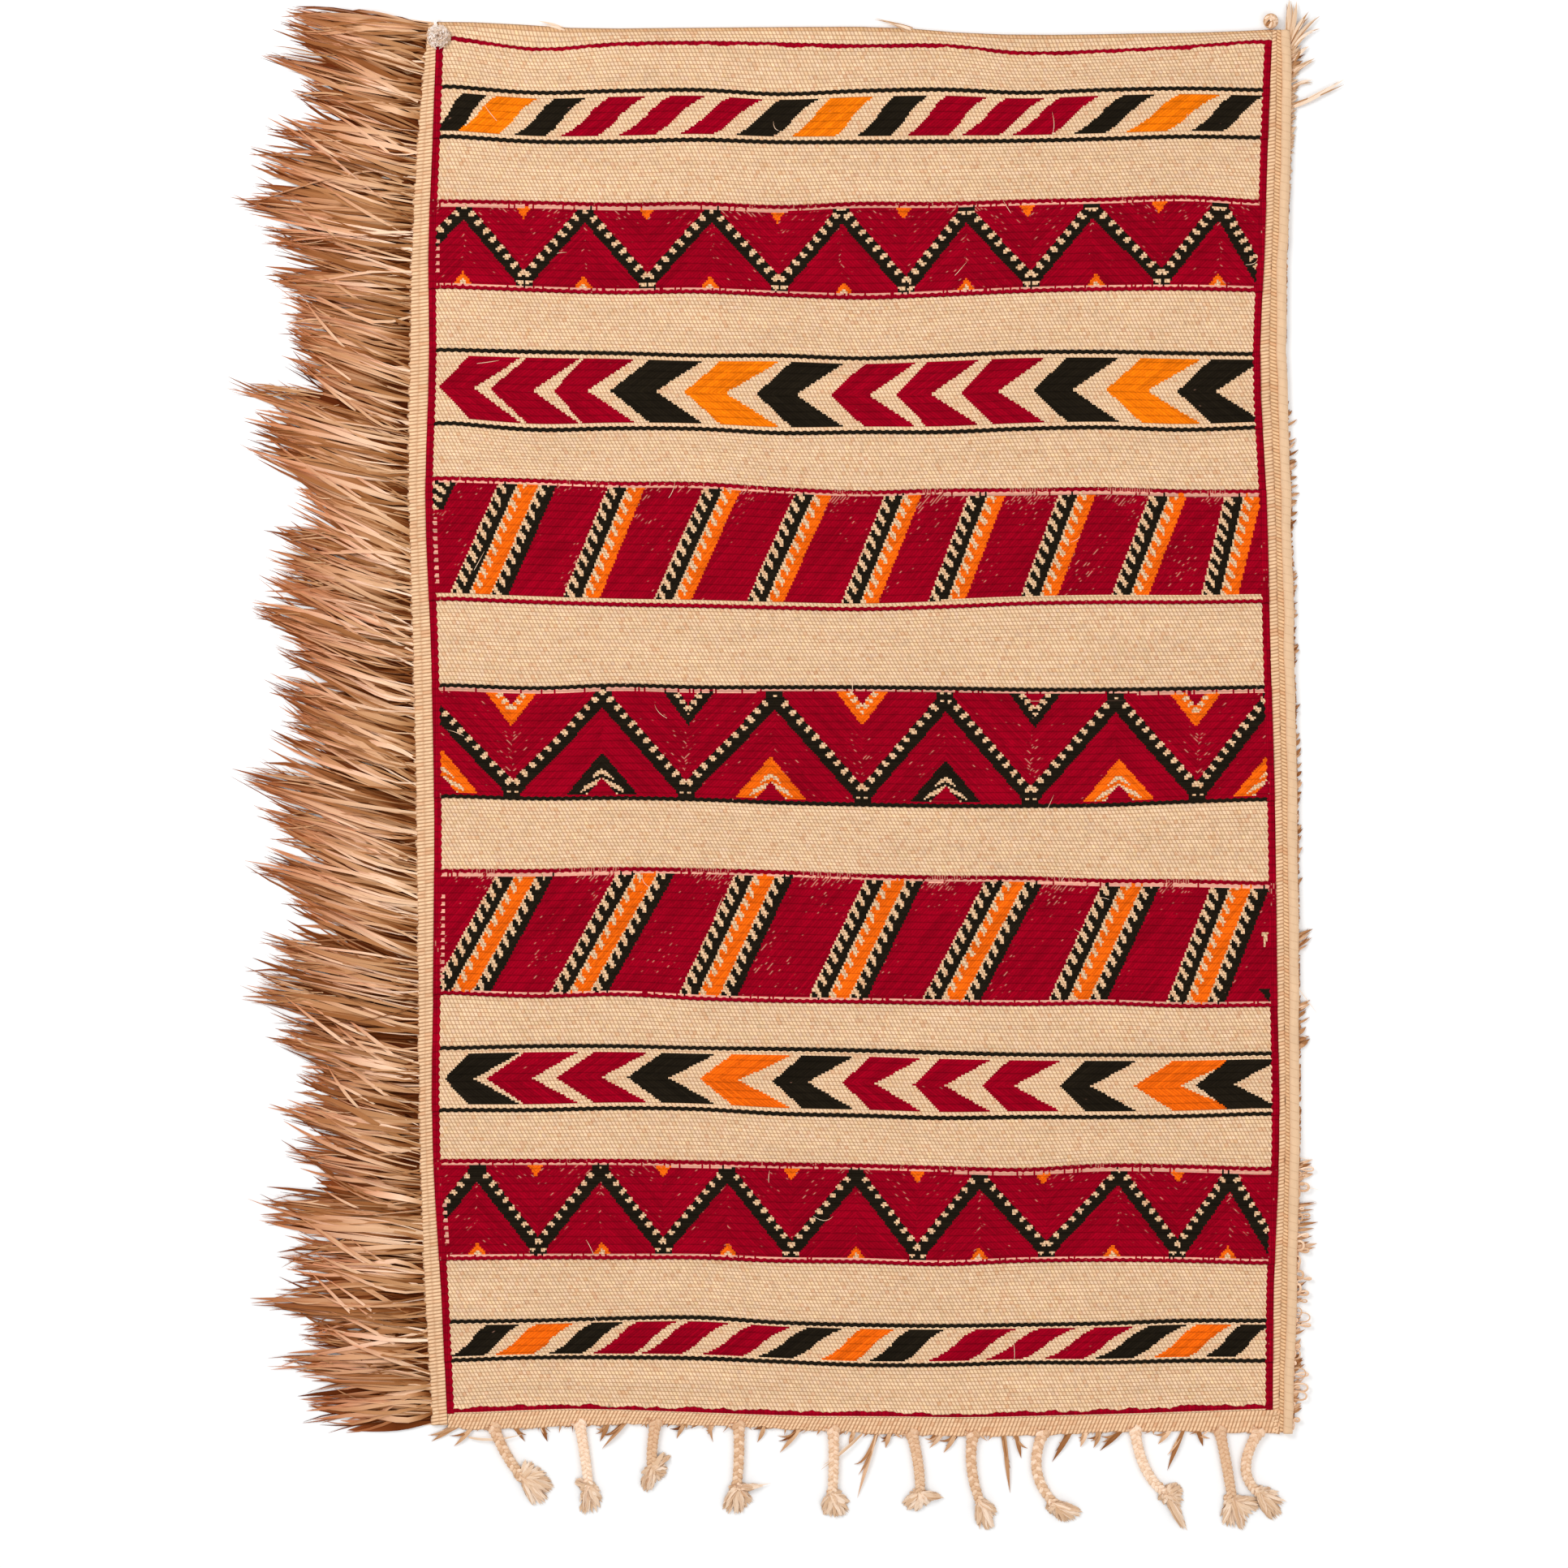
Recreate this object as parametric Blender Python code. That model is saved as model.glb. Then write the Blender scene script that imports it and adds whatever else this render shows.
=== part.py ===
"""A palm fibre rug with wool bands, lying flat: the woven cloth, its fringed heading, its rolled binding,
the plaited lower selvedge and two corner knots.

The rug lies on the XY plane. +Y runs up it, +X runs from the fringe to the rolled binding, and +Z is up.
The origin is the middle of the cloth's underside. Every size below is in millimetres.
"""

import math
import random
from collections import namedtuple

import bmesh
import bpy
import numpy as np
from mathutils import Vector

MM = 0.001
GAP = 0.3

CLOTH_THICK = 4.0
CLOTH_EDGE_ROUND = 1.0
KNOT_PITCH = 50.0

# The rug's long edges from the bottom up: x of the fringe's heading, of both seams and of the roll.
Across = namedtuple("Across", "y heading left_seam right_seam roll")
LONG_EDGES = [
    Across(-745, -452, -434.5, 446.5, 468),
    Across(-600, -460.5, -441.5, 447.5, 471.5),
    Across(-430, -466, -451, 453.5, 475),
    Across(-255, -468, -450, 451, 474),
    Across(-85, -470, -449, 449, 472.5),
    Across(90, -473.5, -452.5, 444, 469),
    Across(260, -478, -458.5, 439.5, 465.5),
    Across(390, -477, -454.5, 433, 460.5),
    Across(520, -474.5, -455, 438, 462),
    Across(650, -467, -450, 442, 466),
    Across(757, -457, -446.5, 446.5, 464),
]

# Its short edges, read across: the top, the seam of the plaited selvedge and the bottom.
Along = namedtuple("Along", "x top low_seam bottom")
SHORT_EDGES = [
    Along(-457, 759, -727.5, -741),
    Along(-390, 758, -726.5, -745),
    Along(-305, 752.5, -723, -740.5),
    Along(-175, 752.5, -726.5, -739.5),
    Along(-45, 753.5, -731, -745.5),
    Along(40, 753, -731, -750),
    Along(125, 746.5, -732, -752),
    Along(215, 745, -730, -750),
    Along(300, 746.5, -728, -746.5),
    Along(390, 748, -725, -747.5),
    Along(466, 752, -722, -750),
]

HEADING_TOP, HEADING_BOTTOM = 757.0, -745.0
BINDING_TOP, BINDING_BOTTOM = 752.0, -748.0

# The long palm fringe, from the top down. Each lock has a width of heading, its tips' reach and their lift.
Lock = namedtuple("Lock", "width reach rise")
FRINGE_LOCKS = [
    Lock(38, 156, 22), Lock(30, 172, 26), Lock(52, 134, 22), Lock(35, 160, 30),
    Lock(26, 174, 26), Lock(35, 200, 10), Lock(39, 163, 13), Lock(56, 146, 9),
    Lock(48, 146, 30), Lock(52, 138, 35), Lock(30, 184, 39), Lock(56, 178, 30),
    Lock(35, 120, 35), Lock(24, 128, 39), Lock(28, 150, 30), Lock(43, 158, 26),
    Lock(43, 168, 26), Lock(43, 150, 28), Lock(48, 157, 30), Lock(48, 158, 35),
    Lock(35, 197, 26), Lock(52, 162, 26), Lock(52, 175, 26), Lock(35, 144, 30),
    Lock(35, 167, 17), Lock(43, 197, 19), Lock(52, 162, 13), Lock(35, 127, 9),
    Lock(43, 146, 13), Lock(52, 142, 9), Lock(52, 174, 4), Lock(43, 158, 0),
    Lock(43, 167, -4), Lock(35, 132, 0), Lock(39, 160, 4), Lock(39, 141, -4),
]
FRINGE_TOP, FRINGE_BOTTOM = 756.0, -739.0
FRINGE_STRANDS = 180
FRINGE_SHARE = 0.72
FRINGE_THICK = 3.2
FRINGE_GATHER = 0.7
FRINGE_BEND = 1.3
FRINGE_STATIONS = (0.28, 0.58, 0.84)
FRINGE_SEED = 41

# The rolled binding, seen in section from its outer foot: how far in from the outer edge, and how high.
RollPoint = namedtuple("RollPoint", "inset height")
ROLL_SECTION = [
    RollPoint(0, 0), RollPoint(0, 2.0), RollPoint(0.8, 5.2), RollPoint(3.6, 7.4),
    RollPoint(7.0, 8.0), RollPoint(10.4, 7.0), RollPoint(13.0, CLOTH_THICK),
]
STUBBLE_WIDTH = 4.6

# Trimmed palm ends along the roll: where each bunch starts and ends, how many, and their reach and lift.
Bunch = namedtuple("Bunch", "top bottom count reach rise")
STUBBLE = [
    Bunch(746, 694, 6, 27, 30), Bunch(672, 672, 1, 53, 26), Bunch(338, 222, 7, 13, 8),
    Bunch(190, 70, 4, 8, 6), Bunch(30, -170, 5, 9, 8), Bunch(-216, -252, 3, 15, 12),
    Bunch(-292, -346, 4, 14, 8), Bunch(-452, -480, 3, 17, 6), Bunch(-502, -556, 4, 29, 4),
    Bunch(-585, -738, 8, 14, 8),
]

# The plaits on the lower selvedge: where each leaves it, bends and ends, and its tuft's tip and spread.
# A tuft's stations are shares of its length, each with the share of its full width.
Plait = namedtuple("Plait", "root_x bend_x bend_y end_x end_y tip_x tip_y spread")
PLAITS = [
    Plait(-386, -374, -773, -355, -797, -331, -812, 30), Plait(-300, -287, -773, -282, -799, -284, -836, 28),
    Plait(-210, -212, -766, -217, -782, -219, -812, 30), Plait(-126, -127, -773, -126, -799, -128, -837, 34),
    Plait(-23, -23, -782, -23, -811, -20, -839, 30), Plait(61, 68, -778, 69, -805, 71, -831, 42),
    Plait(125, 131, -783, 133, -812, 142, -851, 22), Plait(203, 192, -786, 204, -812, 230, -839, 26),
    Plait(303, 311, -782, 323, -812, 354, -854, 14), Plait(391, 398, -782, 401, -811, 403, -853, 22),
    Plait(433, 416, -783, 428, -809, 450, -836, 26),
]
PLAIT_WIDTH, PLAIT_THICK = 12.0, 7.0
PLAIT_LOBES = 8
PLAIT_SWAY = 1.0
PLAIT_CROWN = 0.25
TUFT_THICK = 9.0
TUFT_SHARE = 0.85
TUFT_STATIONS = ((0.35, 1.0), (0.7, 1.0), (0.93, 0.5))

# Loose palm ends that show between the plaits.
LeafEnd = namedtuple("LeafEnd", "root_x tip_x tip_y")
LEAF_ENDS = [
    LeafEnd(-424, -452, -757), LeafEnd(-408, -428, -762), LeafEnd(-362, -352, -757),
    LeafEnd(-334, -328, -757), LeafEnd(-262, -272, -757), LeafEnd(-243, -270, -765),
    LeafEnd(-180, -190, -754), LeafEnd(-155, -151, -758), LeafEnd(-96, -104, -758),
    LeafEnd(-57, -80, -769), LeafEnd(0, -6, -762), LeafEnd(24, 3, -817),
    LeafEnd(38, 33, -764), LeafEnd(94, 80, -764), LeafEnd(108, 95, -769),
    LeafEnd(160, 166, -812), LeafEnd(172, 178, -775), LeafEnd(232, 211, -779),
    LeafEnd(248, 241, -763), LeafEnd(262, 255, -764), LeafEnd(287, 262, -767),
    LeafEnd(338, 324, -760), LeafEnd(352, 334, -788), LeafEnd(366, 372, -762),
]
LEAF_WIDTH, LEAF_THICK = 4.0, 1.6
LEAF_STATIONS = (0.4, 0.75)

TOP_LEFT_KNOT = {"x": -444, "y": 742, "radius": 12, "height": 8}
TOP_RIGHT_KNOT = {"x": 444, "radius": 8, "height": 10}
KNOT_LUMP = 0.09


def curve_through(rows, column):
    """A smooth curve through one column of a table, over the table's first column."""
    places = [row[0] for row in rows]
    values = [getattr(row, column) for row in rows]
    slopes = np.gradient(values, places)

    def at(place):
        i = min(max(int(np.searchsorted(places, place)) - 1, 0), len(places) - 2)
        step = places[i + 1] - places[i]
        t = (place - places[i]) / step
        start, end = values[i], values[i + 1]
        out, back = slopes[i] * step, slopes[i + 1] * step
        return (
            start * (1 + 2 * t) * (1 - t) ** 2 + out * t * (1 - t) ** 2
            + end * t * t * (3 - 2 * t) - back * t * t * (1 - t)
        )

    return at


def knots_of(rows):
    """Even steps along a table, at which both sides of a seam turn."""
    count = round((rows[-1][0] - rows[0][0]) / KNOT_PITCH)
    return np.linspace(rows[0][0], rows[-1][0], count + 1)


def edge_line(rows, column):
    """The edge as short straight runs between the knots, so that both sides of a seam stay a gap apart."""
    knots = knots_of(rows)
    curve = curve_through(rows, column)
    heights = [curve(knot) for knot in knots]
    return lambda place: float(np.interp(place, knots, heights))


heading_x = edge_line(LONG_EDGES, "heading")
left_seam_x = edge_line(LONG_EDGES, "left_seam")
right_seam_x = edge_line(LONG_EDGES, "right_seam")
roll_x = edge_line(LONG_EDGES, "roll")
top_y = edge_line(SHORT_EDGES, "top")
low_seam_y = edge_line(SHORT_EDGES, "low_seam")
bottom_y = edge_line(SHORT_EDGES, "bottom")


def between(knots, low, high):
    """Both ends and the knots that lie between them."""
    return [low] + [float(k) for k in knots if low + GAP < k < high - GAP] + [high]


def stations_with(roots, knots, low, high):
    """Places along a strip where its section changes: its ends, each root's sides and the free knots."""
    free = [
        float(k) for k in knots
        if low + GAP < k < high - GAP and not any(a - GAP < k < b + GAP for a, b in roots)
    ]
    return sorted({low, high, *free, *(side for root in roots for side in root)})


def extrude_on(bm, faces):
    """Extrudes joined faces as one body and returns the new ends. A face left inside goes."""
    inner = [face for face in faces if any(len(edge.link_faces) > 1 for edge in face.edges)]
    made = bmesh.ops.extrude_face_region(bm, geom=faces)["geom"]
    bmesh.ops.delete(bm, geom=inner, context="FACES")
    return [item for item in made if isinstance(item, bmesh.types.BMFace)]


def loft(bm, sections, root_side):
    """A solid through sections of equal corner counts. Returns its faces on one side, in order."""
    face = bm.faces.new([bm.verts.new(point) for point in sections[0]])
    faces = []
    for section in sections[1:]:
        face = extrude_on(bm, [face])[0]
        for vert, point in zip(face.verts, section):
            vert.co = point
        edge = bm.edges.get((face.verts[root_side], face.verts[root_side + 1]))
        faces.append(next(side for side in edge.link_faces if side != face))
    return faces


def set_section(cap, centre, direction, width, thick):
    """Lays a four-cornered end on the floor at a point, square to a direction."""
    middle = cap.calc_center_median()
    across = Vector((-direction.y, direction.x, 0)).normalized()
    for vert in cap.verts:
        side = math.copysign(width / 2, (vert.co - middle).dot(across))
        level = thick if vert.co.z > middle.z else 0
        vert.co = (centre.x + across.x * side, centre.y + across.y * side, level)


def grow(bm, root, sections):
    """Extrudes a root face through (centre, direction, width, thick) sections and returns the last end."""
    cap = root
    for section in sections:
        cap = bmesh.ops.extrude_discrete_faces(bm, faces=[cap])["faces"][0]
        set_section(cap, *section)
    return cap


def grow_to_point(bm, root, sections, tip):
    cap = grow(bm, root, sections)
    cap = bmesh.ops.extrude_discrete_faces(bm, faces=[cap])["faces"][0]
    bmesh.ops.pointmerge(bm, verts=cap.verts[:], merge_co=Vector((tip.x, tip.y, 0)))


def leaf(bm, root, start, tip, width, thick, stations):
    """A flat leaf strip from a root face to a point, narrowing as it goes."""
    run = tip - start
    sections = [
        (start + run * s, run, width * (1 - 0.5 * s * s), thick * (1 - 0.4 * s)) for s in stations
    ]
    grow_to_point(bm, root, sections, tip)


def finish(bm, name, colour, roughness):
    """Makes the mesh an object in metres, with its own material."""
    bmesh.ops.recalc_face_normals(bm, faces=bm.faces[:])
    bmesh.ops.scale(bm, vec=(MM, MM, MM), verts=bm.verts[:])
    mesh = bpy.data.meshes.new(name)
    bm.to_mesh(mesh)
    bm.free()
    material = bpy.data.materials.new(name)
    material.use_nodes = True
    surface = material.node_tree.nodes["Principled BSDF"]
    surface.inputs["Base Color"].default_value = (*colour, 1)
    surface.inputs["Roughness"].default_value = roughness
    surface.inputs["Metallic"].default_value = 0
    mesh.materials.append(material)
    obj = bpy.data.objects.new(name, mesh)
    bpy.context.scene.collection.objects.link(obj)
    return obj


def cloth():
    """The woven field, one flat piece with the rug's uneven edges and a softened upper rim."""
    half = GAP / 2
    low = low_seam_y(left_seam_x(HEADING_BOTTOM)) + half
    low_right = low_seam_y(right_seam_x(BINDING_BOTTOM)) + half
    high = top_y(left_seam_x(HEADING_TOP))
    high_right = top_y(right_seam_x(BINDING_TOP))
    left = [(left_seam_x(y) + half, y) for y in between(knots_of(LONG_EDGES), low, high)]
    right = [(right_seam_x(y) - half, y) for y in between(knots_of(LONG_EDGES), low_right, high_right)]
    across = [float(x) for x in knots_of(SHORT_EDGES) if left[0][0] + GAP < x < right[0][0] - GAP]
    top = [(x, top_y(x)) for x in across]
    bottom = [(x, low_seam_y(x) + half) for x in across]
    outline = left + top + right[::-1] + bottom[::-1]

    bm = bmesh.new()
    base = bm.faces.new([bm.verts.new((x, y, 0)) for x, y in outline])
    made = bmesh.ops.extrude_face_region(bm, geom=[base])["geom"]
    upper = [item for item in made if isinstance(item, bmesh.types.BMVert)]
    rim = [item for item in made if isinstance(item, bmesh.types.BMEdge)]
    bmesh.ops.translate(bm, vec=(0, 0, CLOTH_THICK), verts=upper)
    bmesh.ops.bevel(
        bm, geom=rim, offset=CLOTH_EDGE_ROUND, segments=1, profile=0.5, affect="EDGES", material=-1
    )
    return finish(bm, "cloth", (0.79, 0.56, 0.35), 0.9)


def fringe_paths():
    """Each long strand's place on the heading, its place far out, its reach and its thickness."""
    dice = random.Random(FRINGE_SEED)
    pitch = (FRINGE_TOP - FRINGE_BOTTOM) / FRINGE_STRANDS
    span = sum(lock.width for lock in FRINGE_LOCKS)
    far = max(lock.reach for lock in FRINGE_LOCKS)
    Strand = namedtuple("Strand", "root target reach thick")
    strands = []
    for i in range(FRINGE_STRANDS):
        down = (i + 0.5) / FRINGE_STRANDS * span
        start = 0
        for lock in FRINGE_LOCKS:
            if down <= start + lock.width:
                break
            start += lock.width
        offset = (down - start) / lock.width - 0.5
        root = FRINGE_TOP - (i + 0.5) * pitch
        middle = root + offset * lock.width
        lift = lock.rise * (far / lock.reach) ** FRINGE_BEND
        target = middle + lift - offset * lock.width * FRINGE_GATHER + dice.uniform(-1, 1)
        if strands:
            target = min(target, strands[-1].target - pitch * FRINGE_GATHER * 0.7)
        reach = lock.reach * (1 - 0.45 * offset * offset - dice.uniform(0, 0.16))
        strands.append(Strand(root, target, reach, FRINGE_THICK * dice.uniform(0.7, 1)))
    return strands, pitch, far


def left_fringe():
    """The twined heading strip and its long palm fringe, each strand a flat leaf that narrows to a point."""
    strands, pitch, far = fringe_paths()
    half_root = pitch * FRINGE_SHARE / 2
    roots = [(strand.root - half_root, strand.root + half_root) for strand in strands]
    bm = bmesh.new()
    sections = []
    for y in stations_with(roots, [], HEADING_BOTTOM, HEADING_TOP):
        inner, outer = left_seam_x(y) - GAP / 2, heading_x(y)
        sections.append([
            (inner, y, 0), (inner, y, CLOTH_THICK), (outer + 0.6, y, CLOTH_THICK), (outer, y, FRINGE_THICK),
            (outer, y, 0),
        ])
    faces = loft(bm, sections, 3)[1::2]

    def height(strand, out):
        return strand.root + (strand.target - strand.root) * (out / far) ** FRINGE_BEND

    for i, (strand, root) in enumerate(zip(strands[::-1], faces)):
        beside = [strands[::-1][j] for j in (i - 1, i + 1) if 0 <= j < len(strands)]

        def point(share):
            out = share * strand.reach
            return Vector((heading_x(strand.root) - out, height(strand, out), 0))

        grown = []
        for share in FRINGE_STATIONS:
            out = share * strand.reach
            room = min(abs(height(other, out) - height(strand, out)) for other in beside)
            width = min(pitch * FRINGE_SHARE * (1 - 0.55 * share * share), 0.8 * room)
            direction = point(share + 0.1) - point(share - 0.1)
            grown.append((point(share), direction, width, strand.thick * (1 - 0.55 * share)))
        grow_to_point(bm, root, grown, point(1))
    return finish(bm, "left_fringe", (0.48, 0.25, 0.12), 0.8)


def right_binding():
    """The twined band, the rolled edge beside it and the trimmed palm ends that stick out under the roll."""
    stubs = []
    for bunch in STUBBLE:
        for i in range(bunch.count):
            share = i / max(bunch.count - 1, 1)
            long = 1 - 0.35 * ((i * 2) % 3) / 2
            stubs.append((
                bunch.top + (bunch.bottom - bunch.top) * share,
                bunch.reach * long,
                bunch.rise * (1 - 0.4 * share) * long,
            ))
    stubs.sort()
    half = STUBBLE_WIDTH / 2
    roots = [(y - half, y + half) for y, reach, rise in stubs]
    stations = stations_with(roots, knots_of(LONG_EDGES), BINDING_BOTTOM, BINDING_TOP)
    bm = bmesh.new()
    sections = []
    for y in stations:
        inner, outer = right_seam_x(y) + GAP / 2, roll_x(y)
        section = [(outer - point.inset, y, point.height) for point in ROLL_SECTION]
        sections.append(section + [(inner, y, CLOTH_THICK), (inner, y, 0)])
    faces = loft(bm, sections, 0)
    for (y, reach, rise), (low, high) in zip(stubs, roots):
        start = Vector((roll_x(y), y, 0))
        tip = start + Vector((reach, rise, 0))
        leaf(bm, faces[stations.index(low)], start, tip, STUBBLE_WIDTH, LEAF_THICK, LEAF_STATIONS)
    return finish(bm, "right_binding", (0.77, 0.55, 0.36), 0.85)


def swell(bm, faces, centre, direction, width, thick, lean):
    """Extrudes a row of three faces as one body to a domed section, whose crown lies to one side."""
    faces = extrude_on(bm, faces)
    verts = {vert for face in faces for vert in face.verts}
    middle = sum((vert.co for vert in verts), Vector()) / len(verts)
    across = Vector((-direction.y, direction.x, 0)).normalized()
    places = {vert: (vert.co - middle).dot(across) for vert in verts}
    widest = max(abs(place) for place in places.values())
    for vert, place in places.items():
        share = round(3 * place / widest) / 3
        crown = 1 - 0.3 * abs(share) + PLAIT_CROWN * lean * share
        level = thick * crown if vert.co.z > middle.z else 0
        side = share * width / 2
        vert.co = (centre.x + across.x * side, centre.y + across.y * side, level)
    return sorted(faces, key=lambda face: (face.calc_center_median() - centre).dot(across))


def plait(bm, roots, row, start):
    """One plait: a body whose lobes lean left and right in turn, and a tuft of three locks at its end."""
    bend, end = Vector((row.bend_x, row.bend_y, 0)), Vector((row.end_x, row.end_y, 0))
    faces = roots
    for lobe in range(1, PLAIT_LOBES + 1):
        t = lobe / PLAIT_LOBES
        here = start * (1 - t) ** 2 + bend * 2 * t * (1 - t) + end * t * t
        direction = (bend - start) * (1 - t) + (end - bend) * t
        lean = 1 if lobe % 2 else -1
        aside = Vector((-direction.y, direction.x, 0)).normalized() * PLAIT_SWAY * lean
        faces = swell(bm, faces, here + aside, direction, PLAIT_WIDTH, PLAIT_THICK, lean)

    run = Vector((row.tip_x, row.tip_y, 0)) - end
    aside = Vector((-run.y, run.x, 0)).normalized()
    third, fan = PLAIT_WIDTH / len(faces), row.spread / 2
    faces.sort(key=lambda face: face.calc_center_median().dot(aside))
    for face, lean in zip(faces, (-1, 0, 1)):
        middle = face.calc_center_median()
        base = Vector((middle.x, middle.y, 0))
        tip = end + run * (1 - 0.22 * abs(lean)) + aside * lean * fan
        grown = []
        for share, full in TUFT_STATIONS:
            width = full * TUFT_SHARE * (third + (fan - third) * share)
            grown.append((base + (tip - base) * share, run, width, TUFT_THICK * (1 - 0.4 * share)))
        grow_to_point(bm, face, grown, tip)


def bottom_fringe():
    """The selvedge strip under the lowest wool line, its plaits and the loose palm ends between them."""
    third = PLAIT_WIDTH / 3
    spans = {row: [row.root_x + third * side for side in (-1.5, -0.5, 0.5, 1.5)] for row in PLAITS}
    spans |= {row: [row.root_x + LEAF_WIDTH * side for side in (-0.5, 0.5)] for row in LEAF_ENDS}
    roots = [pair for sides in spans.values() for pair in zip(sides, sides[1:])]
    low = left_seam_x(HEADING_BOTTOM) + GAP
    high = right_seam_x(BINDING_BOTTOM) - GAP
    stations = stations_with(roots, knots_of(SHORT_EDGES), low, high)
    bm = bmesh.new()
    sections = []
    for x in stations:
        inner, outer = low_seam_y(x) - GAP / 2, bottom_y(x)
        sections.append([
            (x, inner, 0), (x, inner, CLOTH_THICK), (x, outer + 0.6, CLOTH_THICK), (x, outer, LEAF_THICK * 2),
            (x, outer, 0),
        ])
    faces = loft(bm, sections, 3)
    for row, sides in spans.items():
        grown = [faces[stations.index(side)] for side in sides[:-1]]
        start = Vector((row.root_x, bottom_y(row.root_x), 0))
        if isinstance(row, Plait):
            plait(bm, grown, row, start)
        else:
            tip = Vector((row.tip_x, row.tip_y, 0))
            leaf(bm, grown[0], start, tip, LEAF_WIDTH, LEAF_THICK, LEAF_STATIONS)
    return finish(bm, "bottom_fringe", (0.8, 0.6, 0.42), 0.85)


def corner_knot(name, x, y, floor, radius, height, colour):
    """A small wound knot: a lumpy ball with a flat foot."""
    bm = bmesh.new()
    bmesh.ops.create_icosphere(bm, subdivisions=2, radius=1)
    for vert in bm.verts:
        turn = math.atan2(vert.co.y, vert.co.x)
        lump = 1 - KNOT_LUMP * (1 + math.sin(3 * turn + 4 * vert.co.z)) / 2
        rise = max(vert.co.z * lump, -0.75) + 0.75
        vert.co = (
            x + radius * vert.co.x * lump, y + radius * vert.co.y * lump, floor + height * rise / 1.75,
        )
    return finish(bm, name, colour, 0.95)


def build():
    for obj in list(bpy.data.objects):
        bpy.data.objects.remove(obj)
    cloth()
    left_fringe()
    right_binding()
    bottom_fringe()
    knot = TOP_LEFT_KNOT
    corner_knot(
        "corner_knot_top_left", knot["x"], knot["y"], CLOTH_THICK + GAP, knot["radius"], knot["height"],
        (0.87, 0.79, 0.74),
    )
    knot = TOP_RIGHT_KNOT
    corner_knot(
        "corner_knot_top_right", knot["x"], top_y(knot["x"]) + GAP + knot["radius"], 0, knot["radius"],
        knot["height"], (0.83, 0.66, 0.48),
    )


build()
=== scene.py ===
import math
import random
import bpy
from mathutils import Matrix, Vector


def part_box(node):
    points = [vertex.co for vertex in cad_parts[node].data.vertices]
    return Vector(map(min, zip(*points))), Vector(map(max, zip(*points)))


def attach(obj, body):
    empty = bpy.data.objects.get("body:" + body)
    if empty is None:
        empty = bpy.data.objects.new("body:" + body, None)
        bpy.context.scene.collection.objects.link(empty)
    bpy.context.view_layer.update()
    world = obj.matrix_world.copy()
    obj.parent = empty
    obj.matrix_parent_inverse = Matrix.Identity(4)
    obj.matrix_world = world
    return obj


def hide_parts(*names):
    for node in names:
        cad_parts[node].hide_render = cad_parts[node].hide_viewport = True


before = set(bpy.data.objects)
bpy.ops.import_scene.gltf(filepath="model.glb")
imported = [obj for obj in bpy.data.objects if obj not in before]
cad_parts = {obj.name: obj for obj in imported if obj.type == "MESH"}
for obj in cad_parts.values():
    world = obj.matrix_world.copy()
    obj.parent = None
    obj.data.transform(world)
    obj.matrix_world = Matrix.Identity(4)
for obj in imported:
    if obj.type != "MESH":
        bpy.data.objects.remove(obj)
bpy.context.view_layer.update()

from types import SimpleNamespace

import bmesh
import bpy
import numpy as np
from mathutils import Matrix, Vector

# Places and sizes are in millimetres until a mesh is finished. x runs across the rug, y up it and z off the
# floor.
mm = 0.001
print("frame loaded")


# Shader kit

def paint(red, green, blue):
    # a colour as a colour picker shows it, turned into the linear one that a shader takes
    shares = [channel / 255 for channel in (red, green, blue)]
    linear = [share / 12.92 if share < 0.04045 else ((share + 0.055) / 1.055) ** 2.4 for share in shares]
    return (*linear, 1)


class Wire:
    # an output of a node, so that shader maths reads as Python
    def __init__(self, net, socket):
        self.net = net
        self.socket = socket

    def math(self, operation, *others):
        return self.net.node("ShaderNodeMath", {"operation": operation}, dict(enumerate((self, *others))))

    def __add__(self, other):
        return self.math("ADD", other)

    def __sub__(self, other):
        return self.math("SUBTRACT", other)

    def __rsub__(self, other):
        return self.net.node("ShaderNodeMath", {"operation": "SUBTRACT"}, {0: other, 1: self})

    def __mul__(self, other):
        return self.math("MULTIPLY", other)

    def __pow__(self, other):
        return self.math("POWER", other)

    __radd__ = __add__
    __rmul__ = __mul__

    def part(self):
        return self.math("FRACT")

    def whole(self):
        return self.math("FLOOR")

    def size(self):
        return self.math("ABSOLUTE")

    def clip(self, low, high):
        return self.math("MAXIMUM", low).math("MINIMUM", high)


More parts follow.
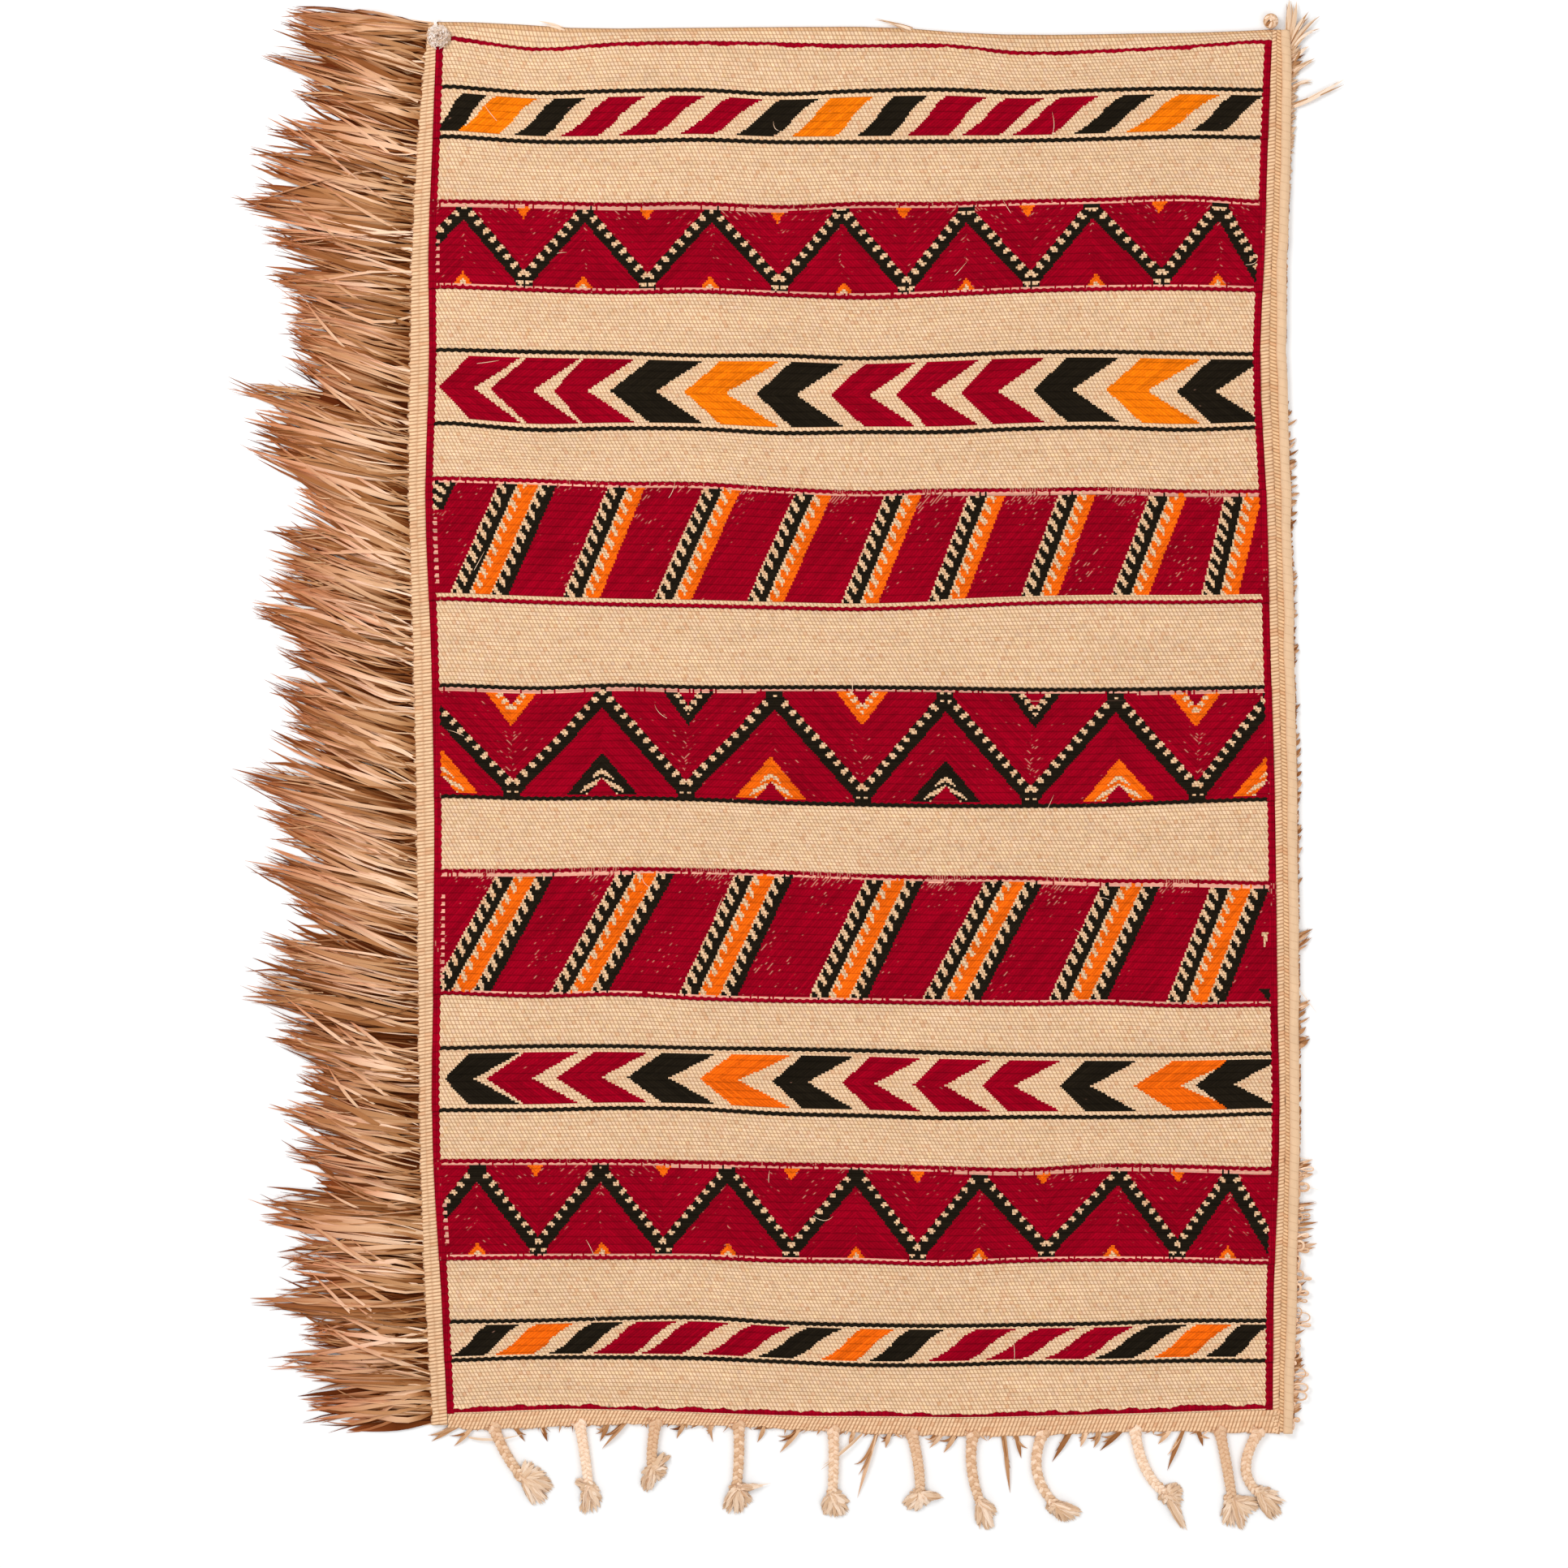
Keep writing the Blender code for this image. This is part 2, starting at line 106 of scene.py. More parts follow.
class Net:
    # one material and its nodes
    def __init__(self, name):
        self.material = bpy.data.materials.new(name)
        self.material.use_nodes = True
        self.tree = self.material.node_tree
        self.tree.nodes.clear()

    def node(self, kind, settings=None, values=None, output=0):
        made = self.tree.nodes.new(kind)
        for key, value in (settings or {}).items():
            if key == "stops":
                while len(made.color_ramp.elements) < len(value):
                    made.color_ramp.elements.new(0.5)
                for element, (place, colour) in zip(made.color_ramp.elements, value):
                    element.position = place
                    element.color = colour
            else:
                setattr(made, key, value)
        for key, value in (values or {}).items():
            if isinstance(value, Wire):
                self.tree.links.new(value.socket, made.inputs[key])
            else:
                made.inputs[key].default_value = value
        return Wire(self, made.outputs[output]) if made.outputs else None

    def attribute(self, name, output="Color"):
        return self.node("ShaderNodeAttribute", {"attribute_name": name}, output=output)

    def places(self, name):
        # the two coordinates of a UV map
        both = self.node("ShaderNodeUVMap", {"uv_map": name})
        split = self.node("ShaderNodeSeparateXYZ", None, {0: both})
        return split, Wire(self, split.socket.node.outputs[1])

    def join(self, x, y, z=0.0):
        return self.node("ShaderNodeCombineXYZ", None, {0: x, 1: y, 2: z})

    def noise(self, where, scale, detail=2.0):
        return self.node("ShaderNodeTexNoise", None, {"Vector": where, "Scale": scale, "Detail": detail})

    def speck(self, where):
        # a random number for each whole place
        return self.node("ShaderNodeTexWhiteNoise", None, {"Vector": where})

    def blend(self, factor, first, second, way="MIX"):
        settings = {"data_type": "RGBA", "blend_type": way}
        return self.node("ShaderNodeMix", settings, {0: factor, 6: first, 7: second}, output=2)

    def dim(self, colour, amount):
        # a colour times a number
        return self.blend(1.0, colour, self.join(amount, amount, amount), "MULTIPLY")

    def ramp(self, value, stops):
        return self.node("ShaderNodeValToRGB", {"stops": stops}, {0: value})

    def object(self):
        return self.node("ShaderNodeTexCoord", None, None, output="Object")

    def bump(self, height, strength, depth):
        values = {"Height": height, "Strength": strength, "Distance": depth * mm}
        return self.node("ShaderNodeBump", None, values)

    def finish(self, colour, roughness, normal=None, specular=0.3):
        values = {"Base Color": colour, "Roughness": roughness, "Specular IOR Level": specular}
        if normal:
            values["Normal"] = normal
        surface = self.node("ShaderNodeBsdfPrincipled", None, values)
        self.node("ShaderNodeOutputMaterial", None, {0: surface})
        return self.material


# Mesh kit

def readPoints(mesh):
    flat = np.empty(len(mesh.vertices) * 3, np.float32)
    mesh.vertices.foreach_get("co", flat)
    return flat.reshape(-1, 3).astype(float)


def readCorners(mesh):
    flat = np.empty(len(mesh.loops), np.int32)
    mesh.loops.foreach_get("vertex_index", flat)
    return flat


def writePoints(mesh, points):
    mesh.vertices.foreach_set("co", np.asarray(points, np.float32).reshape(-1) * np.float32(mm))
    mesh.update()


def gridMesh(name, columns, rows):
    # a flat grid and its points' column and row numbers
    bm = bmesh.new()
    bmesh.ops.create_grid(bm, x_segments=columns, y_segments=rows, size=0.5)
    mesh = bpy.data.meshes.new(name)
    bm.to_mesh(mesh)
    bm.free()
    points = readPoints(mesh)
    low, high = points.min(0), points.max(0)
    column = np.rint((points[:, 0] - low[0]) / (high[0] - low[0]) * columns).astype(int)
    row = np.rint((points[:, 1] - low[1]) / (high[1] - low[1]) * rows).astype(int)
    return mesh, column, row


def addColour(mesh, name, colours):
    # a colour for each face
    layer = mesh.attributes.new(name, "FLOAT_COLOR", "FACE")
    layer.data.foreach_set("color", np.asarray(colours, np.float32).reshape(-1))


def addNumber(mesh, name, numbers, domain="FACE"):
    layer = mesh.attributes.new(name, "FLOAT", domain)
    layer.data.foreach_set("value", np.asarray(numbers, np.float32).reshape(-1))


def addMap(mesh, name, pairs):
    # a UV map with a pair for each face corner
    layer = mesh.uv_layers.new(name=name)
    layer.data.foreach_set("uv", np.asarray(pairs, np.float32).reshape(-1))


def planMap(mesh, points):
    # a map of its own, named OFBake: the piece as seen from above
    flat = readCorners(mesh)
    low, high = points[:, :2].min(0), points[:, :2].max(0)
    plan = (points[flat][:, :2] - low) / (high - low).max()
    addMap(mesh, "OFBake", plan * 0.996 + 0.002)


def makePiece(name, mesh, material):
    mesh.materials.append(material)
    mesh.shade_smooth()
    piece = bpy.data.objects.new(name, mesh)
    bpy.context.scene.collection.objects.link(piece)
    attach(piece, "root")
    return piece


def joinCopies(name, template, copies):
    # one mesh of many small shapes: template is a mesh, copies its points for each copy, in millimetres
    count, size = len(copies), len(template.vertices)
    corners = readCorners(template)
    sides = np.empty(len(template.polygons), np.int32)
    template.polygons.foreach_get("loop_total", sides)
    mesh = bpy.data.meshes.new(name)
    mesh.vertices.add(count * size)
    mesh.loops.add(count * len(corners))
    mesh.polygons.add(count * len(sides))
    step = np.arange(count)[:, None] * size
    mesh.loops.foreach_set("vertex_index", (corners[None, :] + step).reshape(-1).astype(np.int32))
    starts = np.cumsum(np.tile(sides, count)) - np.tile(sides, count)
    mesh.polygons.foreach_set("loop_start", starts.astype(np.int32))
    writePoints(mesh, np.asarray(copies).reshape(-1, 3))
    mesh.update(calc_edges=True)
    return mesh


def unit(rows):
    # each row as a direction of length one
    return rows / (np.linalg.norm(rows, axis=1)[:, None] + 1e-9)


def wander(dice, places, every, amount):
    # a chance drift along a line of places
    some = places[::every]
    return np.interp(places, some, dice.normal(0, amount, len(some)))


def smoothLine(places, values):
    # a smooth curve through a few places
    places, values = np.asarray(places, float), np.asarray(values, float)
    slopes = np.gradient(values, places)

    def at(place):
        place = np.clip(place, places[0], places[-1])
        i = np.clip(np.searchsorted(places, place) - 1, 0, len(places) - 2)
        step = places[i + 1] - places[i]
        t = (place - places[i]) / step
        start, end = values[i], values[i + 1]
        out, back = slopes[i] * step, slopes[i + 1] * step
        rise = start * (1 + 2 * t) * (1 - t) ** 2 + out * t * (1 - t) ** 2
        return rise + end * t * t * (3 - 2 * t) - back * t * t * (1 - t)

    return at


# The frame's edges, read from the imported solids

def solidPoints(node):
    return np.unique(np.round(readPoints(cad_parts[node].data) / mm, 2), axis=0)


def edgeLine(points, keep, along, pick):
    # an edge of a solid as a line over x or y: of the kept points, the lowest or highest at each place
    chain = {}
    for point in points[keep]:
        place, value = round(point[along], 1), point[1 - along]
        chain[place] = pick(chain.get(place, value), value)
    places = sorted(chain)
    values = [chain[place] for place in places]
    return lambda place: np.interp(place, places, values)


clothSolid = solidPoints("cloth")
foot = clothSolid[:, 2] < 0.1
beyond = {"side": 425, "top": 730, "low": -700}  # where only an edge's own points lie
leftX = edgeLine(clothSolid, foot & (clothSolid[:, 0] < -beyond["side"]), 1, min)
rightX = edgeLine(clothSolid, foot & (clothSolid[:, 0] > beyond["side"]), 1, max)
topY = edgeLine(clothSolid, foot & (clothSolid[:, 1] > beyond["top"]), 0, max)
lowY = edgeLine(clothSolid, foot & (clothSolid[:, 1] < beyond["low"]), 0, min)
clothThick = clothSolid[:, 2].max()

fringeSolid = solidPoints("left_fringe")
outside = fringeSolid[:, 0] < leftX(fringeSolid[:, 1]) - 5
headingX = edgeLine(fringeSolid, outside & (np.abs(fringeSolid[:, 2] - clothThick) < 0.05), 1, min)
bindingSolid = solidPoints("right_binding")
crownX = edgeLine(bindingSolid, bindingSolid[:, 2] > bindingSolid[:, 2].max() - 0.05, 1, max)
lowSolid = solidPoints("bottom_fringe")
outside = lowSolid[:, 1] < lowY(lowSolid[:, 0]) - 5
bottomY = edgeLine(lowSolid, outside & (np.abs(lowSolid[:, 2] - clothThick) < 0.02), 0, min)


# Woven cloth: a stitch grid that follows the hand-beaten rows

dyes = {
    "palm": paint(239, 204, 166),
    "red": paint(148, 0, 26),
    "dark": paint(30, 24, 16),
    "orange": paint(240, 100, 12),
    "cream": paint(234, 197, 157),
    "faded": paint(226, 160, 138),
    "amber": paint(242, 118, 8),
}
stitch = 4.0  # both ways
half = stitch / 2
yarn = {"width": 2.6, "raise": 1.0, "crease": 0.35}
plan = {"left": -450, "across": 895}  # about where the cloth lies, to find its edges' lines
redEdge = {"width": 8, "topLeft": 733, "topRight": 739}

# How high the border lines lie at these stations, from the left: for each band its lower and its upper one.
stations = [-427.5, -340.5, -254, -167.5, -80.5, 6, 93, 179.5, 266, 353, 426.5]
lowRedLine = [-723, -719, -720.5, -723, -725.5, -726.5, -728.5, -727, -725, -721, -718.5]
topRedLine = [741.5, 729.5, 735, 736.5, 735, 733, 733.5, 725.5, 727.5, 732, 737.5]
bandLines = [
    ([-669.5, -666.5, -666.5, -667.5, -671, -674.5, -674.5, -672, -672, -670, -670],
     [-628.5, -627.5, -625, -624, -629.5, -632, -633, -632, -630.5, -627.5, -627.5]),
    ([-561, -560, -560, -560, -563.5, -564.5, -567, -563.5, -562.5, -563.5, -565.5],
     [-457, -457, -457, -458.5, -460.5, -462, -464.5, -466.5, -462, -463, -465.5]),
    ([-402.5, -402.5, -400.5, -401.5, -406.5, -408.5, -411, -410, -410, -409, -406.5],
     [-336.5, -334.5, -334.5, -336.5, -337.5, -339, -341.5, -343.5, -344, -344, -342.5]),
    ([-277.5, -281, -279, -283.5, -286, -287, -288.5, -289.5, -288.5, -291.5, -290.5],
     [-147.5, -147.5, -145.5, -146.5, -149, -152.5, -154.5, -155, -158, -158.5, -160.5]),
    ([-67.5, -70, -69.5, -71, -74.5, -76.5, -78, -78, -77, -73.5, -71],
     [50.5, 47.5, 50.5, 48.5, 48.5, 48.5, 47.5, 46, 46, 47, 48.5]),
    ([143, 139.5, 137, 135.5, 133.5, 132, 134.5, 138, 139.5, 139.5, 140.5],
     [271.5, 269, 266, 265.5, 260, 256.5, 258.5, 259, 260, 257.5, 257.5]),
    ([330.5, 323.5, 325, 324.5, 320, 321, 321, 324.5, 326, 323.5, 326],
     [408.5, 406.5, 405, 402.5, 402.5, 399.5, 402.5, 406, 406.5, 405, 404]),
    ([476, 472.5, 470, 471, 467.5, 464.5, 467.5, 471.5, 473.5, 474, 472.5],
     [567, 565.5, 563.5, 564.5, 561, 564.5, 564.5, 567, 569, 571.5, 567]),
    ([636.5, 631, 631, 633, 630.5, 630.5, 631, 632, 634, 636.5, 635.5],
     [689.5, 683, 685, 686, 681.5, 685, 686.5, 683, 686, 687.5, 686]),
]


def inkOf(name):
    return list(dyes).index(name)


def keyLines():
    # the lines between which the rows are spread, from the bottom up
    lines = [lowY]

    def shifted(heights, by):
        curve = smoothLine(stations, heights)
        return lambda x: curve(x) + by

    lines.append(shifted(lowRedLine, half))
    for low, high in bandLines:
        lines += [shifted(low, -half), shifted(high, half)]
    lines += [shifted(topRedLine, -half), shifted(topRedLine, half), topY]
    return lines


keys = keyLines()
zones = {"lowRed": 0, "firstBand": 2, "lastBand": 18, "topRed": 20}  # each by its lower key line


def zoneOf(number):
    # a band's zone; bands and bare palm take turns
    return zones["firstBand"] + 2 * number


def rowPlaces(first, last, size, coarse=None):
    # rows between two key lines, as key number plus share; bands may take coarser rows
    places = [float(first)]
    for key in range(first, last):
        height = np.mean(keys[key + 1](np.array(stations)) - keys[key](np.array(stations)))
        isBand = key % 2 == 0 and zones["firstBand"] <= key <= zones["lastBand"]
        count = max(1, round(height / (coarse if coarse and isBand else size)))
        count = 4 if key == zones["lowRed"] else count
        places += [key + (i + 1) / count for i in range(count)]
    return np.array(places)


def onCloth(share, place):
    # x and y of a share across the cloth on a row place
    x = plan["left"] + plan["across"] * share
    lower = np.clip(np.floor(place).astype(int), 0, len(keys) - 2)
    part = place - lower
    for turn in range(2):
        heights = np.stack([key(x) for key in keys])
        across = np.arange(len(x))
        y = heights[lower, across] * (1 - part) + heights[lower + 1, across] * part
        left, right = leftX(y), rightX(y)
        x = left + (right - left) * share
    return x, y


def isRedEdge(x, y):
    # the red line down each long side of the cloth
    atLeft = (x < leftX(y) + redEdge["width"]) & (y < redEdge["topLeft"])
    return atLeft | ((x > rightX(y) - redEdge["width"]) & (y < redEdge["topRight"]))


def isWool(ink):
    return (ink > 0) & (ink != inkOf("cream"))


def dyeFaces(ink, seed):
    # each stitch's colour: its dye, a little lighter or darker by chance
    colours = np.array(list(dyes.values()))[ink]
    dice = np.random.default_rng(seed)
    tone = 1 + dice.normal(0, 0.05, len(ink))
    warm = 1 + dice.normal(0, 0.03, len(ink))
    colours[:, :3] *= np.clip(tone, 0.7, 1.25)[:, None]
    colours[:, 2] *= np.clip(warm, 0.85, 1.15)
    return colours


def weaveMaterial(name, brick=0.5, lean=0.5, beside=0.8, between=0.7, edge=5):
    # palm stitches that lean down to the right, and wool yarns with a crease after every second row. brick is
    # how far each row is shifted, lean how far a stitch slants, beside and between how dark the painted shade
    # in its gaps is.
    net = Net(name)
    dye, woolly = net.attribute("dye"), net.attribute("wool", "Fac")
    bare = net.attribute("fleck", "Fac")
    u, v = net.places("weave")
    rise = v.part()
    shifted = u + v.whole() * brick
    across = (shifted + (rise - 0.5) * lean).part() * 2 - 1
    up = rise * 2 - 1
    palm = (1 - across.size() ** 4 * beside) * (1 - up.size() ** edge * between)
    strand = (u.part() * 2 - 1).size()
    crease = ((v * 0.5).part() * 2 - 1).size() ** 7
    fibre = net.noise(net.join(u * 3, v * 0.7), 3.0, 3.0)
    wool = (1 - strand ** 2 * 0.45) * (1 - crease * 0.7) + fibre * 0.25
    height = palm + (wool - palm) * woolly
    stretch = {0: net.object(), 1: (8.0, 42.0, 1.0)}
    stain = net.noise(net.node("ShaderNodeVectorMath", {"operation": "MULTIPLY"}, stretch), 1.0, 4.0)
    rowTone = net.speck(net.join(0.0, v.whole()))
    speck = net.speck(net.join(shifted.whole(), v.whole()))
    yarnTone = net.speck(net.join(u.whole(), (v * 0.12).whole()))
    # palm and wool darken towards their gaps and creases, which is painted shade, times stains and chance
    # tones of their own
    palmTone = (0.74 + palm * 0.26) * (0.84 + stain * 0.26 + rowTone * 0.06 + speck * 0.06)
    woolTone = (0.34 + wool * 0.66) * (0.58 + fibre * 0.45 + yarnTone * 0.3) * (0.8 + stain * 0.5)
    tone = palmTone + (woolTone - palmTone) * woolly
    shadowed = net.dim(dye, tone)
    bareWool = 1 - woolly
    aged = net.blend(speck ** 8 * bareWool * 0.4, shadowed, paint(196, 120, 70))
    blush = net.noise(net.join(shifted * 0.16, v * 0.9), 1.3, 3.0)
    blushed = net.blend(((blush - 0.5) * 4).clip(0.0, 1.0) * bareWool * 0.32, aged, paint(216, 156, 112))
    # painted shade: a brown that darkens the bare palm's gaps between its stitches
    creaseShaded = net.blend((1 - palm) * bareWool * 0.8, blushed, paint(168, 108, 60))
    streaks = net.noise(net.join((u + 0.5).whole() * 1.37, v * 0.3), 2.2, 1.0)
    shown = ((streaks + bare * 0.55 - 0.76) * 14).clip(0.0, 1.0) * strand ** 3 * woolly
    flecked = net.blend(shown * 0.8, creaseShaded, paint(236, 172, 146))
    normal = net.bump(height, 0.7, 0.9)
    return net.finish(flecked, 0.9, normal, specular=0.03)


weave = weaveMaterial("weave")
twined = weaveMaterial("twined", brick=0.0, lean=0.12, beside=0.35, between=1.0, edge=2.6)


def skirtedGrid(name, columns, rows):
    # a grid with one more ring of points round it, its skirt, which goes down into the cloth
    mesh, column, row = gridMesh(name, columns + 2, rows + 2)
    skirt = (column == 0) | (column == columns + 2) | (row == 0) | (row == rows + 2)
    return mesh, np.clip(column - 1, 0, columns), np.clip(row - 1, 0, rows), skirt


def inMiddle(corners, *values):
    # what each face has in its middle of some values of its corners
    return [value[corners].mean(1) for value in values]


def alternate(number):
    # one way on even rows or columns and the other way on odd ones
    return number % 2 * 2 - 1


def weavePiece(mesh, points, colours, wool, pairs, slot, material=weave, fleck=None):
    # a woven piece with what its material reads
    addColour(mesh, "dye", colours)
    addNumber(mesh, "wool", wool)
    if fleck is not None:
        addNumber(mesh, "fleck", fleck)
    addMap(mesh, "weave", pairs)
    planMap(mesh, points)
    return makePiece(mesh.name, mesh, material)


def makeGround():
    ground = {"level": 3.55, "underBands": 2.6, "foot": 0.3, "wobble": 0.18, "seed": 5}
    ragged = {
        "seed": 8, "steps": 90, "reach": 460, "most": 1.6, "lines": ((1, 1.3), (20, 0.6)),
        "redEdge": 0.7, "redRow": 0.5,
    }
    columns = round(plan["across"] / stitch)
    rows = rowPlaces(0, len(keys) - 1, stitch, coarse=16)
    mesh, column, row, skirt = skirtedGrid("woven_ground", columns, len(rows) - 1)
    key = rows[row]
    x, y = onCloth(column / columns, key)
    inBand = (np.floor(key) % 2 == 0) & (key > zones["firstBand"]) & (key < zones["lastBand"] + 1)
    inBand &= key % 1 > 0.01
    x += np.where(np.isin(column, (2, columns - 2)), ragged["redEdge"] * alternate(row), 0)
    y += np.where(np.isin(key, (1, 20, 21)), ragged["redRow"] * alternate(column), 0)
    drift = np.random.default_rng(ragged["seed"]).normal(0, 1, (2, ragged["steps"]))
    for line, amount in ragged["lines"]:
        steps = np.linspace(-ragged["reach"], ragged["reach"], ragged["steps"])
        wave = np.interp(x, steps, drift[line % 2])
        y += np.where(key == line, np.clip(wave * amount, -ragged["most"], ragged["most"]), 0)
    chance = np.random.default_rng(ground["seed"]).random(len(x))
    z = ground["level"] + ground["wobble"] * (chance - 0.5)
    z = np.where(inBand, ground["underBands"], z)
    z = np.where(skirt, ground["foot"], z)
    points = np.stack([x, y, z], 1)
    writePoints(mesh, points)

    corners = readCorners(mesh).reshape(-1, 4)
    middleX, middleY, middleKey = inMiddle(corners, x, y, key)
    zone = np.floor(middleKey).astype(int)
    redRow = (zone == zones["topRed"]) & (middleX > -431) & (middleX < 440)
    redRow |= (zone == zones["lowRed"]) & (middleKey > 0.3)
    ink = np.where(redRow | isRedEdge(middleX, middleY), inkOf("red"), 0)
    colours = dyeFaces(ink, 11)
    colours[middleKey > 21.75, :3] *= (0.82, 0.72, 0.62)  # the browner turn of the top edge
    pairs = np.stack([column, row], 1)[corners].reshape(-1, 2)
    return weavePiece(mesh, points, colours, (ink > 0) * 1.0, pairs, "woven_palm")


# Motifs. A chart holds, for each small face of a band, x, up (from the lower line), high (the band's height)
# and share (up over high). A motif paints ink and the yarns' lean on it.

marks = {
    "tooth": 8.7,  # from one tooth of a line to the next
    "speck": 7.8,  # from one pale speck at the left to the next
    "paleHigh": 2.6,
    "paleShown": 0.86,  # how much of a pale row shows
    "paleIn": 2,  # from the lower border line to a pale row
    "paleTop": 5,  # from the upper one to the foot of its pale row
    "paleRun": 450,
    "clear": 6,  # border lines end this far from the cloth's edges
}


def fill(chart, where, ink, lean=None):
    chart.ink[where] = inkOf(ink)
    if lean is not None:
        chart.lean[where] = lean


def fillAll(chart, ink, lean):
    fill(chart, slice(None), ink, lean)


def teeth(chart, offset, slope=0.45, pitch=marks["tooth"], share=0.58):
    # short stitches across a line that leave pale gaps between them
    return ((chart.up - slope * offset) / pitch) % 1 < share


def paintFlecks(chart, amount):
    # how much of the pale ground shows between the yarns
    chart.fleck[:] = np.clip(amount, 0, 1)


def paintPaleRow(chart, seed, atTop=True):
    # an uneven row of pale stitches beside a border line
    low = chart.high - marks["paleTop"] if atTop else marks["paleIn"]
    chance = np.random.default_rng(seed).random(marks["paleRun"])
    shown = chance[chart.column % marks["paleRun"]] < marks["paleShown"]
    fill(chart, (chart.up > low) & (chart.up < low + marks["paleHigh"]) & shown, "faded", 0)


def paintEdgeSpecks(chart, top):
    # pale specks beside the red line at the left
    room = chart.x - leftX(chart.y)
    near = (room > 8.5) & (room < 12) & (chart.share > 0.12) & (chart.share < top)
    fill(chart, near & (chart.up / marks["speck"] % 1 < 0.55), "faded", 0)


def paintBarFlecks(chart, base, waveX, waveUp, start):
    # pale flecks that come and go, and pale ends that hang from the upper line
    hanging = 0.34 * np.clip((chart.share - start) * 9, 0, 1)
    paintFlecks(chart, hanging + base + 0.2 * np.sin(chart.x / waveX) * np.sin(chart.up / waveUp))


def paintStrokes(chart, inks, feet, heads, widths):
    # leaning bars on bare palm, by x at the foot and at the head
    share = np.clip((chart.share - 0.1) / 0.8, 0, 1)
    inside = (chart.share > 0.11) & (chart.share < 0.89)
    turn = 2 * share - 1
    waist = 0.5 + 0.06 * np.abs(turn)
    for ink, low, high, width in zip(inks, feet, heads, widths):
        middle = (low + high) / 2 + (high - low) / 2 * (0.72 * turn + 0.28 * turn ** 3)
        fill(chart, inside & (np.abs(chart.x - middle) < width * waist), ink, 40)


def paintArrows(chart, inks, points, notches, armWidth):
    # arrowheads that point left on bare palm, by x of the point and of the notch
    reach = np.abs(chart.share - 0.5) / 0.42
    side = np.where(chart.share > 0.5, 38, -38)
    for ink, point, notch in zip(inks, points, notches):
        outer = point + (notch - point) * reach * 0.86
        inner = notch + armWidth * reach * (1.15 if ink == "orange" else 1)
        inside = (reach < 1) & (chart.x > outer) & (chart.x < inner)
        fill(chart, inside, ink, side[inside])


def paintZigzag(chart, peaks, valleys, high, low, width, solid):
    # arms from peak to valley on red: a solid line with teeth on one side, and yarns that lean along it
    ends = sorted([(x, high) for x in peaks] + [(x, low) for x in valleys])
    offset = np.full(len(chart.x), 1e6)  # from the nearest arm, above zero on its toothed side
    lean = np.zeros(len(offset))
    overrun = 9.0
    for (startX, startShare), (endX, endShare) in zip(ends, ends[1:]):
        side = 1 if endShare > startShare else -1
        middle = startX + (endX - startX) * (chart.share - startShare) / (endShare - startShare)
        here = (middle - chart.x) * side
        inside = (chart.x > startX - overrun) & (chart.x < endX + overrun)
        closer = inside & (np.abs(here) < np.abs(offset))
        offset[closer] = here[closer]
        lean[(chart.x >= startX) & (chart.x < endX)] = 45 * side
    fillAll(chart, "red", lean)
    arm = (offset > -width * 0.5) & (offset < width * 0.5)
    fill(chart, arm, "cream", 0)
    fill(chart, arm & ((offset < width * (solid - 0.5)) | teeth(chart, offset)), "dark", 0)


def paintWedge(chart, x, fromTop, halfWidth, depth, ink):
    # a triangle that stands on a border line; a large one has a toothed inside and a red heart
    room = chart.high - chart.up if fromTop else chart.up
    border, largest = 4, 12  # how thick the line is, and how wide a small triangle may be
    reach = np.abs(chart.x - x) / halfWidth + (room - border) / depth
    inside = (reach < 1) & (room > border)
    fill(chart, inside, ink, np.where((chart.x > x) == fromTop, 45, -45)[inside])
    if halfWidth < largest:
        fill(chart, inside & (reach < 0.45) & (not fromTop), "cream", 0)
        return
    rungs = ((chart.up + 0.5 * np.abs(chart.x - x)) / marks["tooth"]) % 1 < 0.55
    fill(chart, inside & (reach > 0.4) & (reach < 0.68) & rungs, "cream", 0)
    fill(chart, inside & (reach < 0.4), "red", 0)


def paintBars(chart, feet, heads, isWhole):
    # bars that lean right on red, by x at the foot and at the head: dark, orange and dark, toothed on their
    # left. One that isn't whole has no dark side at its right.
    share = (chart.share - 0.07) / 0.86
    for low, high in zip(feet, heads):
        offset = chart.x - (low + (high - low) * share)
        combs = [("dark", -35, -23, -15), ("orange", -15, -5, 8), ("dark", 8, 19, 27.5)]
        combs = combs if isWhole(low) else [combs[0], ("orange", -15, -4, 4.5)]
        fill(chart, (offset > -35) & (offset < combs[-1][3]), "cream", 0)
        tooth = teeth(chart, offset, -0.9, 12.2, 0.54)
        for ink, tip, body, end in combs:
            fill(chart, (offset > tip + 1.5) & (offset < end) & (tooth | (offset > body)), ink, 50)


def paintSmallPeaks(chart, peaks, valleys, wedgesTop, wedgesLow, solid, seed):
    # a narrow zigzag with small triangles between its arms
    paintZigzag(chart, peaks, valleys, 0.905, 0.1, 19.5, solid)
    for x in wedgesTop:
        paintWedge(chart, x, True, 8.5, 13, "orange")
    for x in wedgesLow:
        paintWedge(chart, x, False, 9.5, 13, "orange")
    amount = 0.12 + 0.16 * np.clip((chart.share - 0.6) * 3, 0, 1)
    for peak in peaks:
        near = (chart.share > 0.25) & (chart.share < 0.75)
        amount += near * 0.2 * np.exp(-((chart.x - peak) / 3.0) ** 2)
    paintFlecks(chart, amount)
    paintEdgeSpecks(chart, 0.58)
    paintPaleRow(chart, seed, atTop=False)
    paintPaleRow(chart, seed + 1)


